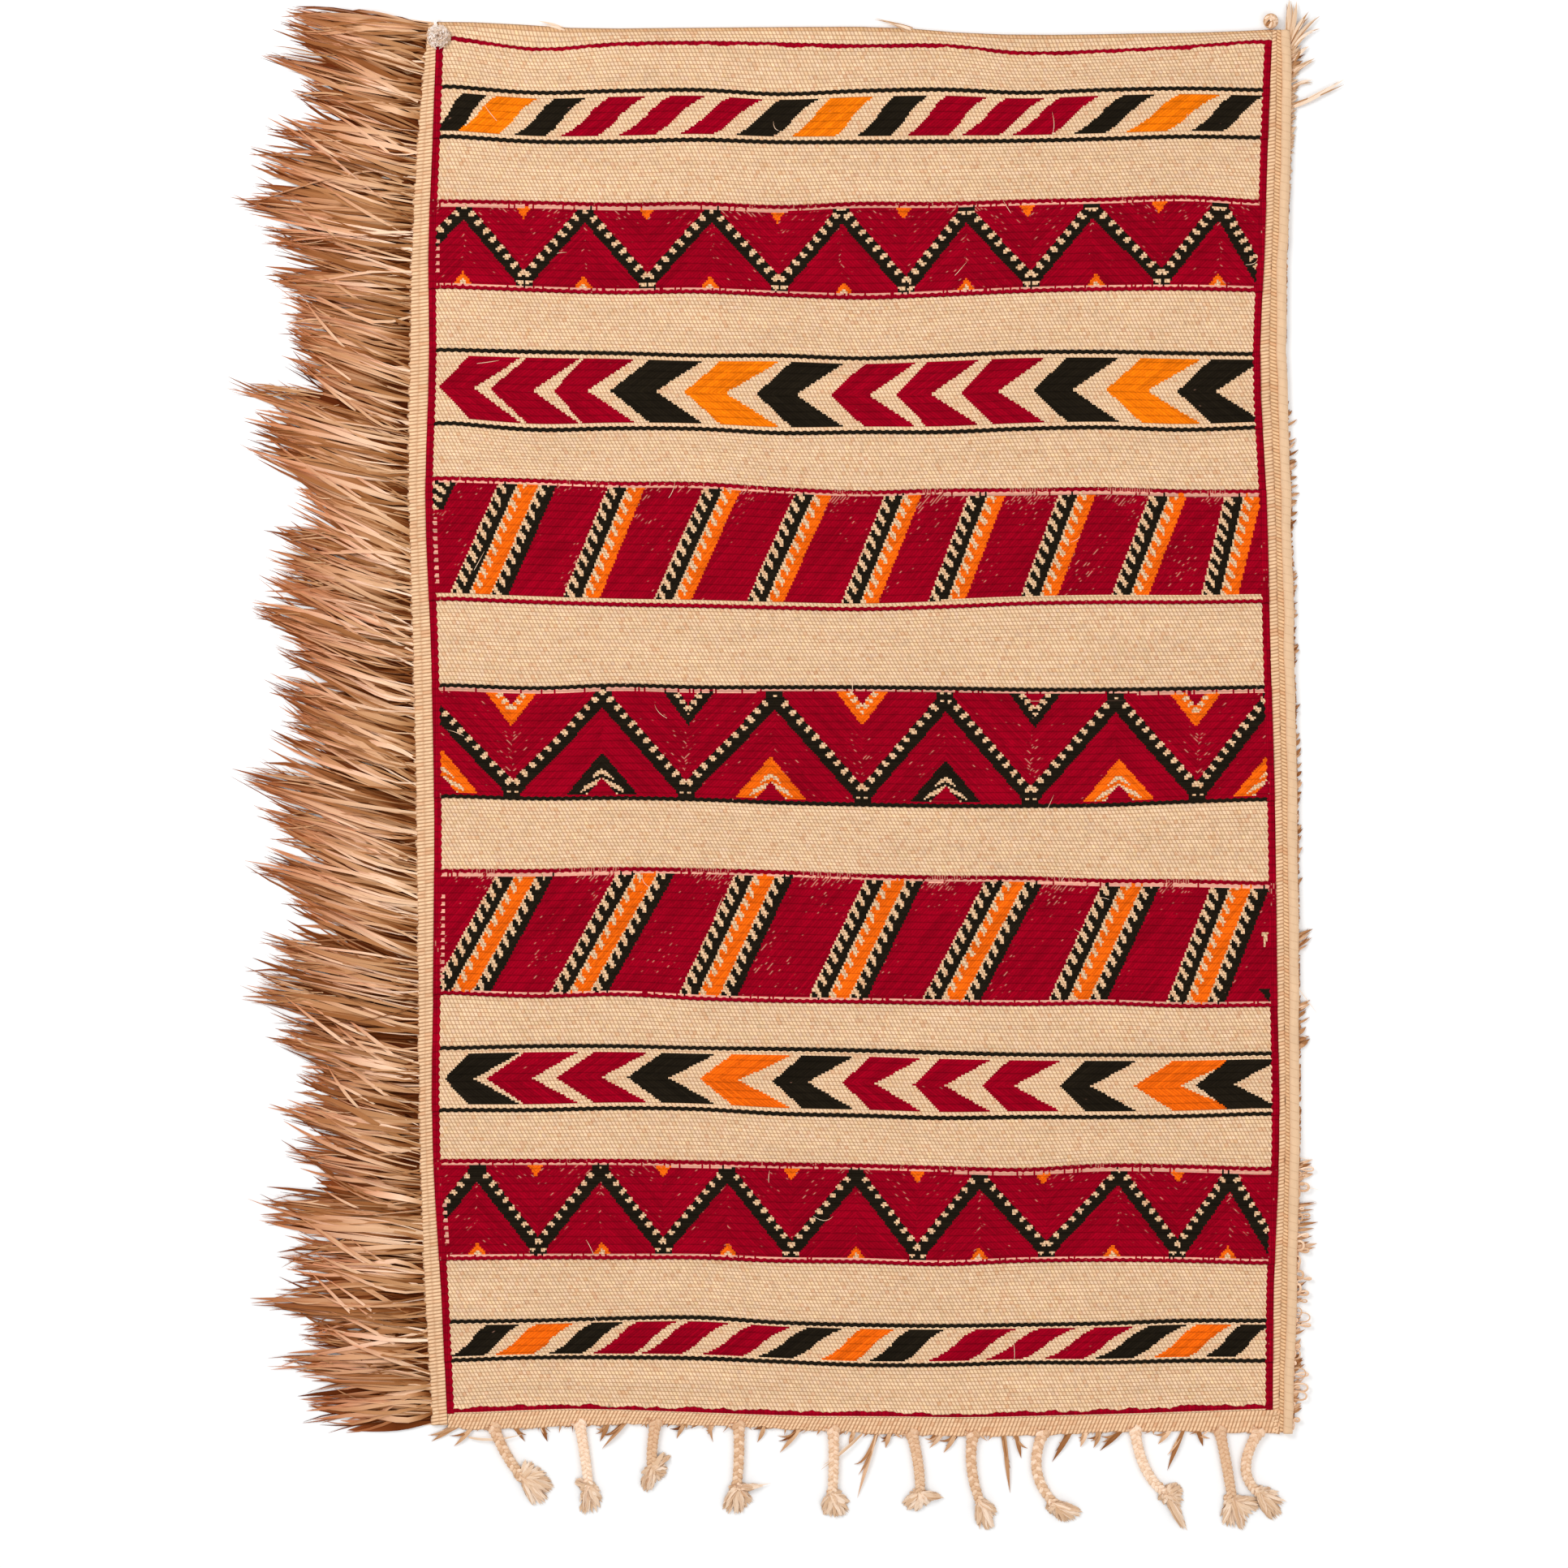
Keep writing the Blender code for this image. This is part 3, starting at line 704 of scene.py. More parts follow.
def paintUpperBars(chart, feet, heads):
    # the first bar is whole, and the corner at the upper left is dark
    fillAll(chart, "red", 50)
    slant = chart.x + 427 + (264 - chart.y) * 0.47
    corner = (slant < 0) & (chart.y > 238)
    fill(chart, corner, "dark", 50)
    fill(chart, corner & (slant < -6) & teeth(chart, slant, -0.5, 9, 0.5), "cream", 0)
    paintBars(chart, feet, heads, lambda low: low == feet[0])
    paintBarFlecks(chart, 0.12, 17, 23, 0.84)
    paintEdgeSpecks(chart, 0.68)
    fill(chart, (chart.up > marks["paleIn"]) & (chart.up < 7), "cream", 0)
    paintPaleRow(chart, 32)


def paintLowerBars(chart, feet, heads):
    # the corner at the lower right is dark, with a pale spot above it
    fillAll(chart, "red", 50)
    paintBars(chart, feet, heads, lambda low: True)
    corner = (chart.x > 446 - 0.9 * chart.up) & (chart.x > 430) & (chart.share < 0.14)
    fill(chart, corner, "dark", 0)
    spot = (np.abs(chart.x - 438) < 4 + 0.2 * (chart.up - 80)) & (np.abs(chart.share - 0.5) < 0.09)
    fill(chart, spot, "cream", 0)
    paintBarFlecks(chart, 0.1, 19, 27, 0.86)
    paintEdgeSpecks(chart, 0.8)
    paintPaleRow(chart, 34, atTop=False)
    paintPaleRow(chart, 35)


def paintGreatPeaks(chart, peaks, valleys, wedgesTop, wedgesLow):
    # the wide zigzag in the middle, whose large triangles take turns in colour
    paintZigzag(chart, peaks, valleys, 0.9, 0.07, 21.5, 0.53)
    for i, x in enumerate(wedgesTop):
        paintWedge(chart, x, True, 28, 37, "dark" if i % 2 else "orange")
    for i, x in enumerate(wedgesLow):
        paintWedge(chart, x, False, 38, 45, "dark" if i % 2 and i < 5 else "orange")
    amount = np.full(len(chart.x), 0.1)
    near = (chart.share > 0.25) & (chart.share < 0.6)
    for x in (-365, -180, 8, 188, 366):
        amount += 0.24 * np.exp(-((chart.x - x) / 14) ** 2) * near
    paintFlecks(chart, amount)
    paintPaleRow(chart, 37)


# The bands from the bottom up: name, border, and what its motif is painted by and from.
trio = ["dark", "orange", "dark"]
strokeInks = (trio + ["red"] * 3) * 2 + trio
arrowInks = (["red"] * 3 + trio) * 2
bands = [
    ("low_strokes", "dark", paintStrokes, strokeInks,
     [-413.5, -363.5, -309, -258.5, -207, -142, -85.5, -18, 34, 99.5, 159, 222.5, 275, 338, 389.5],
     [-374.5, -320, -263.5, -211, -155, -88.5, -31, 25.5, 77.5, 151.5, 216.5, 278, 335.5, 384.5, 428.5],
     [31.5, 36, 31, 38.5, 38.5, 37.5, 34, 32, 34, 39, 35.5, 37.5, 37, 33.5, 28.5]),
    ("lower_peaks", "red", paintSmallPeaks,
     [-403, -271.5, -135.5, 1.5, 133.5, 282, 400.5], [-470, -338, -204.5, -67.5, 67, 204.5, 345, 450],
     [-340.5, -204.5, -67.5, 67, 201, 345], [-402.5, -269.5, -135, 1.5, 132.5, 275, 398], 0.58, 22),
    ("lower_arrows", "dark", paintArrows, ["dark", *arrowInks[1:]],
     [-438, -393, -318, -243, -165.5, -87.5, -13, 62.5, 136, 218.5, 298, 364],
     [-406, -344, -270, -198, -124, -50, 22, 96, 170, 252, 348, 405], 51),
    ("lower_bars", "red", paintLowerBars,
     [-412.5, -287, -150, -11.5, 110, 244.5, 370], [-350.5, -222, -95.5, 43.5, 171, 296.5, 413.5]),
    ("great_peaks", "dark", paintGreatPeaks,
     [-461, -269, -85, 97, 279, 444], [-365, -180.5, 8, 188, 366, 520],
     [-366.5, -177.5, 8, 192.5, 364], [-440, -269.5, -89.5, 97, 282, 442]),
    ("upper_bars", "red", paintUpperBars,
     [-395.5, -275.5, -177.5, -79, 21.5, 114.5, 212.5, 309.5, 405],
     [-347.5, -230.5, -128.5, -31, 65, 155, 251.5, 348.5, 429]),
    ("upper_arrows", "dark", paintArrows, arrowInks,
     [-444, -389.5, -321.5, -261, -182, -105, -26, 43.5, 112.5, 190, 268, 344],
     [-406.5, -343.5, -285, -212.5, -138, -62, 15, 82, 153, 232, 312, 385.5], 50),
    ("upper_peaks", "red", paintSmallPeaks,
     [-417, -288, -152.5, -14, 119, 253, 390], [-488, -353, -221, -80.5, 55.5, 188, 328.5, 436],
     [-353.5, -222, -82.5, 52, 184.5, 325], [-418, -289.5, -154.5, -11.5, 119, 257.5, 387.5], 0.46, 21),
    ("top_strokes", "dark", paintStrokes, strokeInks,
     [-437, -404, -349, -296.5, -235.5, -171, -109, -46, 18, 75.5, 131.5, 186, 247.5, 308, 374],
     [-404, -359, -301.5, -240, -175, -113, -57, -0.5, 62.5, 121, 184.5, 243, 306.5, 372, 422],
     [24, 40, 29.5, 35, 34.5, 32.5, 37, 42, 32.5, 39, 36, 38, 31, 40, 31]),
]


def chartOf(number, x, y, column, row, rows):
    # the band's chart at these places, painted
    name, border, motif, *places = bands[number]
    low, high = keys[zoneOf(number)](x) + half, keys[zoneOf(number) + 1](x) - half
    count = len(x)
    chart = SimpleNamespace(
        x=x, y=y, up=y - low, high=high - low, share=(y - low) / (high - low), column=column,
        ink=np.zeros(count, int), lean=np.zeros(count), fleck=np.zeros(count),
    )
    motif(chart, *places)
    chart.fleck *= chart.ink == inkOf("red")
    if name in ("upper_arrows", "top_strokes"):
        chart.ink[chart.ink == inkOf("orange")] = inkOf("amber")
    atLine = (row < 2) | (row >= rows - 2)
    fill(chart, atLine & (x > leftX(y) + marks["clear"]) & (x < rightX(y) - marks["clear"]), border, 90)
    fill(chart, isRedEdge(x, y), "red", 90)
    chart.wool = isWool(chart.ink)
    return chart


def weaveCorners(chart, corners, x, y, column, row):
    # the weave map at each corner: stitch numbers on palm, and distance across the yarn on wool
    turn = np.radians(chart.lean)[:, None]
    across = (x[corners] * np.sin(turn) - y[corners] * np.cos(turn)) / yarn["width"]
    across = np.where(chart.lean[:, None] == 90, x[corners] / yarn["width"], across)
    u = np.where(chart.wool[:, None], across, column[corners] / 2)
    return np.stack([u, row[corners] / 2], 2).reshape(-1, 2)


def makeBand(number):
    name, border = bands[number][:2]
    band = {"level": 3.75, "stitch": 0.3, "foot": 2.4, "redEdge": 0.7, "border": 0.45}
    low = zoneOf(number)
    columns = round(plan["across"] / half)
    rows = rowPlaces(low, low + 1, half)
    count = len(rows) - 1
    mesh, column, row, skirt = skirtedGrid("wool_" + name, columns, count)
    x, y = onCloth(column / columns, np.clip(rows[row], low, low + 0.99999))
    x += np.where(np.isin(column, (4, columns - 4)), band["redEdge"] * alternate(row // 2), 0)
    y += np.where(np.isin(row, (0, 2, count - 2, count)), band["border"] * alternate(column // 2), 0)
    corners = readCorners(mesh).reshape(-1, 4)
    faceColumn, faceRow = column[corners].min(1), row[corners].min(1)
    chart = chartOf(number, *inMiddle(corners, x, y), faceColumn, faceRow, count)
    pairs = weaveCorners(chart, corners, x, y, column, row)

    cover, shared = np.zeros(len(x)), np.zeros(len(x))
    np.add.at(cover, corners.reshape(-1), np.repeat(chart.wool * 1.0, 4))
    np.add.at(shared, corners.reshape(-1), 1)
    cover /= shared
    inStitch = np.where((row % 2 == 1) & (column % 2 == 1), band["stitch"], 0.0)
    z = band["level"] + inStitch * (1 - cover)
    z += cover * yarn["raise"] - np.where(row % 4 == 0, yarn["crease"], 0) * cover
    points = np.stack([x, y, np.where(skirt, band["foot"], z)], 1)
    writePoints(mesh, points)
    colours = dyeFaces(chart.ink, 50 + number)
    return weavePiece(mesh, points, colours, chart.wool * 1.0, pairs, border + "_wool", fleck=chart.fleck)


def makeUnderside():
    # the rug's back, where the same yarns show, flatter
    back = {"size": 4.6, "level": 0.1, "weave": 1.15, "seed": 12}
    columns = round(plan["across"] / back["size"])
    rows = rowPlaces(0, len(keys) - 1, back["size"])
    mesh, column, row = gridMesh("woven_underside", columns, len(rows) - 1)
    x, y = onCloth(column / columns, rows[row])
    points = np.stack([x, y, np.full(len(x), back["level"])], 1)
    writePoints(mesh, points)
    mesh.flip_normals()
    corners = readCorners(mesh).reshape(-1, 4)
    middleX, middleY, middleKey = inMiddle(corners, x, y, rows[row])
    zone = np.floor(middleKey).astype(int)
    ink = np.zeros(len(corners), int)
    stitchColumn = np.round(middleX / half).astype(int)
    for number in range(len(bands)):
        here = zone == zoneOf(number)
        away = np.full(here.sum(), 9)  # from the border lines, which are too thin to show here
        ink[here] = chartOf(number, middleX[here], middleY[here], stitchColumn[here], away, 99).ink
    redRow = np.isin(zone, (zones["lowRed"], zones["topRed"]))
    ink[redRow | isRedEdge(middleX, middleY)] = inkOf("red")
    pairs = (np.stack([column, row], 1) * back["weave"])[corners].reshape(-1, 2)
    return weavePiece(mesh, points, dyeFaces(ink, back["seed"]), isWool(ink) * 1.0, pairs, "woven_palm")


ground = makeGround()
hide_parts("cloth")
woolBands = [makeBand(number) for number in range(len(bands))]
underside = makeUnderside()
print("cloth woven")


# Palm leaf strips

class Leaves:
    # leaf strips, in a heap that becomes one piece or more
    def __init__(self, seed):
        self.dice = random.Random(seed)
        self.strips = []

    def add(self, path, width, curl, depth=0.0, point=3.5, tone=None):
        # a strip along a path, widest in its middle and narrowing to its tip
        dice = self.dice
        t = np.linspace(0, 1, len(path))
        widths = width * (0.55 + 0.6 * np.sin(math.pi * np.clip(t * 0.9 + 0.05, 0, 1))) * (1 - t ** point)
        roll = dice.gauss(0, curl) + dice.gauss(0, curl) * t
        tone = dice.betavariate(1.3, 1.3) if tone is None else tone
        fold = dice.uniform(-0.12, 0.2)
        # depth darkens the strip in its material, as painted shade for a strip that lies under others
        depths = np.broadcast_to(depth, len(t))
        self.strips.append((path, np.maximum(widths, 0.15), roll, fold, tone, depths))


def bend(start, middle, end, count=8):
    # points along a bend that leaves start towards middle and comes to end
    t = np.linspace(0, 1, count)[:, None]
    start, middle, end = (np.array(point, float) for point in (start, middle, end))
    return start * (1 - t) ** 2 + middle * 2 * t * (1 - t) + end * t * t


def leafMaterial(name, root, middle, tip, grain=(26, 2.2)):
    # dry palm leaf: its colour runs from root to tip and is streaked along it. Depth darkens it with painted
    # shade from the strips above it, and that painted shade is warmer where it is darker.
    net = Net(name)
    u, v = net.places("strip")
    tone = net.attribute("tone", "Fac")
    depth = net.attribute("depth", "Fac")
    stops = [(0.0, paint(*root)), (0.45, paint(*middle)), (1.0, paint(*tip))]
    colour = net.ramp(v + (tone - 0.5) * 0.5, stops)
    streak = net.noise(net.join(u * grain[0], v * grain[1]), 1.0, 4.0)
    fine = net.noise(net.join(u * 90, v * 5), 1.0, 2.0)
    # grain and each strip's own tone, times painted shade by depth; the powers paint the shade warmer as it
    # deepens
    shade = (0.56 + streak * 0.62 + fine * 0.18) * (0.34 + tone * 0.88) * (1 - depth * 0.87)
    streakedAndShaded = net.blend(1.0, colour, net.join(shade, shade ** 1.58, shade ** 2.3), "MULTIPLY")
    normal = net.bump(streak + fine * 0.5, 0.5, 0.5)
    return net.finish(streakedAndShaded, 0.75, normal, specular=0.05)


def axesOf(path):
    # the directions aside and up at each place of a path
    steps = unit(np.gradient(path, axis=0))
    side = unit(np.stack([-steps[:, 1], steps[:, 0], np.zeros(len(path))], 1))
    return side, np.cross(steps, side)


def makeCopies(name, template, copies, tones, depths, maps, material):
    # a piece of many leaf strips or tubes, with what their material reads
    mesh = joinCopies(name, template, copies)
    addNumber(mesh, "tone", np.repeat(tones, len(template.polygons)))
    # depth: how much painted shade the material puts on each point
    addNumber(mesh, "depth", np.concatenate(depths), "POINT")
    addMap(mesh, "strip", np.concatenate(maps))
    return makePiece(name, mesh, material)


def makeLeaves(name, strips, material, lowest=0.15):
    # each strip is (points down its middle, widths, roll in radians, fold, tone, depth of its painted shade),
    # three points wide
    segments = len(strips[0][0]) - 1
    template, column, row = gridMesh("leaf", 2, segments)
    across, along = column - 1, row / segments
    corners = readCorners(template)
    copies, maps = [], []
    for number, (path, widths, roll, fold, tone, depth) in enumerate(strips):
        side, up = axesOf(path)
        tilt = np.cos(roll)[:, None] * side + np.sin(roll)[:, None] * up
        out = (across * widths[row] * 0.5)[:, None]
        lift = ((1 - np.abs(across)) * (fold * widths[row]))[:, None]
        points = path[row] + tilt[row] * out + up[row] * lift
        points[:, 2] = np.maximum(points[:, 2], lowest)
        copies.append(points)
        maps.append(np.stack([(across[corners] + 1) / 2 + 7.3 * (number + 1), along[corners]], 1))
    tones, depths = [strip[4] for strip in strips], [strip[5][row] for strip in strips]
    return makeCopies(name, template, copies, tones, depths, maps, material)


def makeTubes(name, tubes, material, sides=6):
    # each tube is (path, half its width and half its thickness at each place, tone)
    stations = len(tubes[0][0])
    template, column, station = gridMesh("tube", sides, stations - 1)
    around = column / sides * 2 * math.pi - math.pi / 2
    corners = readCorners(template)
    copies, maps = [], []
    for number, (path, width, thick, tone) in enumerate(tubes):
        side, up = axesOf(path)
        points = path[station] + side[station] * (np.cos(around) * width[station])[:, None]
        points += up[station] * (np.sin(around) * thick[station])[:, None]
        points[:, 2] = np.maximum(points[:, 2], 0.15)
        copies.append(points)
        maps.append(np.stack([around[corners] / 6.3 + 5.1 * number, station[corners] / (stations - 1)], 1))
    tones, depths = [tube[3] for tube in tubes], [np.zeros(len(around))] * len(tubes)
    return makeCopies(name, template, copies, tones, depths, maps, material)


# The long fringe

fringe = {
    "seed": 7,
    "count": 2000,
    # the bed's darkness is painted shade, under the strips above it and over the floor between them
    "bed": 280,  # broad dark strips that lie under all the others
    "back": 330,  # flat pale strips under those, seen from below
    "wisps": 190,  # thin curled ends among the tips
    "crossing": 60,  # pale strips that lie across the others
    "width": (2.3, 6.4),
    "bedWidth": 9.0,
    "bedLength": 0.72,  # as a share of the way to the tips
    "layers": 10.0,  # how high the pile of strips reaches near the heading
    "segments": 7,
    "stray": 0.22,  # the share of strips that lie askew
    "gathered": 0.22,  # the share that meet in the longest tips
    "lengths": [1.06, 1.04, 1.02, 1.0, 1.0, 0.97, 0.93, 0.86, 0.7],
}


def tipsOfSolid():
    # the long strands' tips, from the top down: points of the fringe's solid that stand alone in plan
    single, counts = np.unique(fringeSolid[:, :2], axis=0, return_counts=True)
    tips = single[(counts == 1) & (single[:, 0] < -560)]
    return tips[np.argsort(-tips[:, 1])]


tips = tipsOfSolid()
order = np.linspace(0, 1, len(tips))
longest = order[(tips[:, 0] <= np.roll(tips[:, 0], 1)) & (tips[:, 0] <= np.roll(tips[:, 0], -1))]
fringeTop, fringeLow = float(topY(-446)) - 1, float(bottomY(-455)) + 6


def tipAt(share):
    # the outline of the tips, by how far down the fringe
    return np.array([np.interp(share, order, tips[:, 0]), np.interp(share, order, tips[:, 1])])


def rootAt(share, inside):
    # where a strip starts under the heading
    y = fringeTop + (fringeLow - fringeTop) * share
    return float(headingX(y)) + inside, y


def fringePath(dice, root, tip, low, rise):
    # a strip that leaves the heading level, sweeps up the rug as it goes and comes down to the floor
    t = np.linspace(0, 1, fringe["segments"] + 1)
    x = root[0] + (tip[0] - root[0]) * t
    y = root[1] + (tip[1] - root[1]) * t ** dice.uniform(0.95, 1.4)
    y += dice.gauss(0, 4.2) * np.sin(math.pi * t) + dice.gauss(0, 2.4) * np.sin(2 * math.pi * t)
    hump = rise * np.sin(math.pi * np.minimum(t * 1.25, 1)) ** 0.8
    z = low * (1 - t ** 1.6) + hump + 0.3
    return np.stack([x, y, np.maximum(z, 0.3)], 1)


def layStrips(leaves):
    # the fringe itself, from the bed at the floor, dark with painted shade, up
    dice = leaves.dice
    t = np.linspace(0, 1, fringe["segments"] + 1)
    for i in range(fringe["count"]):
        layer = i / fringe["count"]  # 0 at the floor, 1 on top
        isBed = i < fringe["bed"]
        share = (i + 0.5) / fringe["bed"] if isBed else dice.random()
        x, y = rootAt(share, 2)
        stray = dice.random() < fringe["stray"]
        shift = np.interp(share, [0, 0.1, 0.6, 0.85, 1], [0.022, 0.014, 0.016, 0.006, 0.0])
        aim = min(max(share - shift + dice.gauss(0, 0.016 if stray else 0.005), 0), 1)
        gathered = dice.random() < fringe["gathered"]
        aim = longest[np.argmin(np.abs(longest - aim))] if gathered else aim
        tip = tipAt(aim)
        long = dice.choice(fringe["lengths"]) * dice.uniform(0.95, 1.06)
        long = max(long, 0.96) if gathered else long
        long = fringe["bedLength"] if isBed else long
        target = y + (tip[1] - y) * long + dice.gauss(0, 9 if stray else 3)
        rise = layer * fringe["layers"] * dice.uniform(0.35, 0.62)
        path = fringePath(dice, (x, y), (x + (tip[0] - x) * long, target), 0.4 + layer * 3.2, rise)
        width = dice.choice([0.5, 0.75, 1.0, 1.0]) * dice.uniform(*fringe["width"])
        # painted shade: lower strips darker, most of all near the heading, and half the strips darker at
        # their roots
        rooted = 0.8 * (dice.random() < 0.5) * np.exp(-((t / 0.22) ** 2))
        depth = np.clip((1.47 - 1.95 * layer) * (1 - 0.45 * t) + rooted, 0, 0.97)
        tone = dice.betavariate(0.9, 0.8)
        leaves.add(path, fringe["bedWidth"] if isBed else width, 0.05 if isBed else 0.6, depth, 8, tone)


def layWisps(leaves):
    dice = leaves.dice
    for i in range(fringe["wisps"]):
        tip = tipAt(min(max(longest[dice.randrange(len(longest))] + dice.gauss(0, 0.004), 0), 1))
        root = np.array([float(headingX(tip[1])), tip[1] - dice.uniform(4, 22)])
        start = root + (tip - root) * dice.uniform(0.45, 0.7)
        end = tip + [dice.uniform(-5, 14), dice.gauss(1, 7)]
        middle = start + (end - start) * 0.6 + [0, dice.gauss(-1, 7)]
        path = bend((*start, 3.5), (*middle, 5.0), (*end, dice.uniform(0.5, 3.0)))
        leaves.add(path, dice.uniform(0.9, 2.0), 0.6, 0.0, 5, dice.uniform(0.1, 0.7))


def layCrossing(leaves):
    dice = leaves.dice
    for i in range(fringe["crossing"]):
        y = rootAt(dice.uniform(0.05, 0.99), 0)[1]
        start = np.array([float(headingX(y)) - dice.uniform(0, 75), y])
        run = dice.uniform(45, 95)
        end = start + [-run, run * dice.uniform(0.3, 0.8)]
        end[0] = max(end[0], np.interp(-end[1], -tips[:, 1], tips[:, 0]) + 14)
        middle = (start + end) / 2 + [0, dice.gauss(-3, 4)]
        path = bend((*start, 3.5), (*middle, 12.0), (*end, 5.0))
        leaves.add(path, dice.uniform(1.8, 4.0), 0.35, 0.0, 4, dice.uniform(0.55, 0.92))


def backStrips(dice):
    # the flat pale strips that the back shows
    strips = []
    t = np.linspace(0, 1, fringe["segments"] + 1)
    flat = np.zeros(len(t))
    for i in range(fringe["back"]):
        share = (i + 0.5) / fringe["back"]
        x, y = rootAt(share, 4)
        level = 0.02 + 0.03 * (i % 4)  # neighbours overlap, so each has its own level
        reach = dice.uniform(0.6, 0.95)
        tip = tipAt(share)
        end = (x + (tip[0] - x) * reach, y + (tip[1] - y) * reach + dice.gauss(0, 5), level)
        path = bend((x, y, level), ((x + end[0]) / 2, (y + end[1]) / 2 + dice.gauss(0, 4), level), end)
        widths = dice.uniform(6, 10) * (1 - 0.97 * t ** 3)
        strips.append((path, widths, flat, 0.0, dice.uniform(0.3, 0.85), flat))
    return strips


def makeFringe():
    leaves = Leaves(fringe["seed"])
    layStrips(leaves)
    layWisps(leaves)
    layCrossing(leaves)
    backs = backStrips(leaves.dice)
    split = len(leaves.strips) // 2
    palmStrip = leafMaterial("palm_strip", (252, 216, 182), (246, 200, 164), (208, 136, 94))
    makeLeaves("fringe_back", backs, palmStrip, lowest=0.02)
    under = makeLeaves("fringe_under", leaves.strips[:split], palmStrip)
    makeLeaves("fringe_over", leaves.strips[split:], palmStrip)
    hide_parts("left_fringe")


makeFringe()
print("fringe laid")


# Twined heading, binding and selvedge: closed strips along the rug's edges

def loftMesh(name, sections):
    # a closed strip through rings of points, each ring ending where it starts
    rows, columns = sections.shape[:2]
    mesh, column, row = gridMesh(name, columns - 1, rows + 1)
    inside = np.clip(row - 1, 0, rows - 1)
    points = sections[inside, column]
    ends = (row == 0) | (row == rows + 1)
    points[ends] = sections[inside[ends]].mean(1)
    writePoints(mesh, points)
    return mesh, column, points


def twinedStrip(name, places, inner, outer, ribs, pitch, slant, colour, slot, seed, along="y", rim=2.0):
    # a flat strip of twined ribs between two edges; inner and outer are arrays over places
    dice = np.random.default_rng(seed)
    rounds = 4 * ribs
    share = np.linspace(0, 1, rounds + 1)
    edge = outer + wander(dice, places, 3, 0.5)
    ridge = np.abs(np.sin(share * math.pi * ribs)) ** 0.5
    across = inner[:, None] + (edge - inner)[:, None] * share
    top = 3.3 + 0.4 * ridge[None, :] + dice.normal(0, 0.1, across.shape)
    top[:, -1] = rim
    low = np.full((len(places), 2), 0.2 if along == "y" else 0.4)  # no shared level where strips cross
    ring = np.concatenate([across, across[:, [-1, 0]], across[:, :1]], 1)
    level = np.concatenate([top, low, top[:, :1]], 1)
    run = np.repeat(places[:, None], ring.shape[1], 1)
    sections = np.stack([ring, run, level] if along == "y" else [run, ring, level], 2)
    turned = (outer[0] > inner[0]) != (along == "y")
    sections = sections[:, ::-1] if turned else sections
    mesh, column, points = loftMesh(name, sections)
    corners = readCorners(mesh).reshape(-1, 4)
    side = column if not turned else sections.shape[1] - 1 - column
    u = np.minimum(side, rounds) / 4
    v = points[:, 1 if along == "y" else 0] / pitch + u * slant
    count = len(corners)
    colours = np.tile(np.array(paint(*colour)), (count, 1))
    colours[:, :3] *= (1 + dice.normal(0, 0.05, count))[:, None]
    pairs = np.stack([u, v], 1)[corners].reshape(-1, 2)
    return weavePiece(mesh, points, colours, np.zeros(count), pairs, slot, twined)


def makeTwinedEdges():
    # the heading at the left, and the band and the crease beside the roll
    left = np.arange(float(bottomY(-452)) + 3, float(topY(-446)), 1.9)
    inner, outer = leftX(left) + 0.5, headingX(left)
    colour = (244, 203, 163)
    twinedStrip("twined_heading", left, inner, outer, 2, 3.8, 0.35, colour, "palm_binding", 61)
    right = np.arange(float(bottomY(455)) + 2, float(topY(445)), 1.9)
    inner, outer = rightX(right) - 0.5, crownX(right) - 2.2
    seam = inner + (outer - inner) * 0.58
    colour = (242, 202, 162)
    twinedStrip("twined_band", right, inner, seam, 1, 3.8, -0.5, colour, "palm_binding", 62, rim=3.2)
    inner, outer, colour = seam - 0.4, outer + 1.5, (238, 196, 152)
    twinedStrip("twined_crease", right, inner, outer, 1, 3.8, 0.8, colour, "palm_binding", 63, rim=3.0)


def rollMaterial():
    # smooth palm leaf wound round the edge, with thin seams between its turns
    net = Net("wound_roll")
    u, v = net.places("strip")
    turn = (v * 0.11 + u * 0.9).part() * 2 - 1
    seam = turn.size() ** 14
    streak = net.noise(net.join(u * 9, v * 0.06), 1.0, 4.0)
    blotch = net.noise(net.join(u * 0.8, v * 0.05), 1.0, 3.0)
    tone = 0.78 + streak * 0.22 + blotch * 0.16
    base = net.dim(paint(230, 192, 154), tone)
    colour = net.blend(seam * 0.35, base, paint(196, 146, 100))
    return net.finish(colour, 0.7, net.bump(streak * 0.4 - seam, 0.5, 0.6), specular=0.25)


def makeRoll():
    dice = np.random.default_rng(64)
    sides = 12
    size = {"across": 5.3, "high": 3.75, "middle": 4.0, "out": 1.6, "below": 26}
    top = float(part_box("right_binding")[1].y / mm) - size["below"]
    places = np.arange(float(bottomY(466)) + 1, top, 2.6)
    turn = -math.pi / 2 - np.linspace(0, 2 * math.pi, sides + 1)
    middle = crownX(places) + size["out"] + wander(dice, places, 12, 0.5)
    full = 1 + wander(dice, places, 5, 0.035)
    x = middle[:, None] + size["across"] * full[:, None] * np.cos(turn)[None, :]
    z = size["middle"] + size["high"] * full[:, None] * np.sin(turn)[None, :]
    y = np.repeat(places[:, None], sides + 1, 1)
    mesh, column, points = loftMesh("wound_roll", np.stack([x, y, np.clip(z, 0.15, 8.0)], 2))
    corners = readCorners(mesh)
    addMap(mesh, "strip", np.stack([column / sides, points[:, 1]], 1)[corners])
    planMap(mesh, points)
    piece = makePiece("wound_roll", mesh, rollMaterial())
    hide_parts("right_binding")


def makeSelvedge():
    low = np.arange(float(leftX(-740)) + 1, float(rightX(-740)) + 8, 2.0)
    inner, outer, colour = lowY(low) + 0.6, bottomY(low), (246, 204, 164)
    selvedge = twinedStrip("twined_selvedge", low, inner, outer, 4, 4.0, 0.5, colour, "plaited_ends", 65, "x")
    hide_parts("bottom_fringe")


makeTwinedEdges()
makeRoll()
makeSelvedge()
print("edges bound")


# Plaits, tufts and loose palm ends

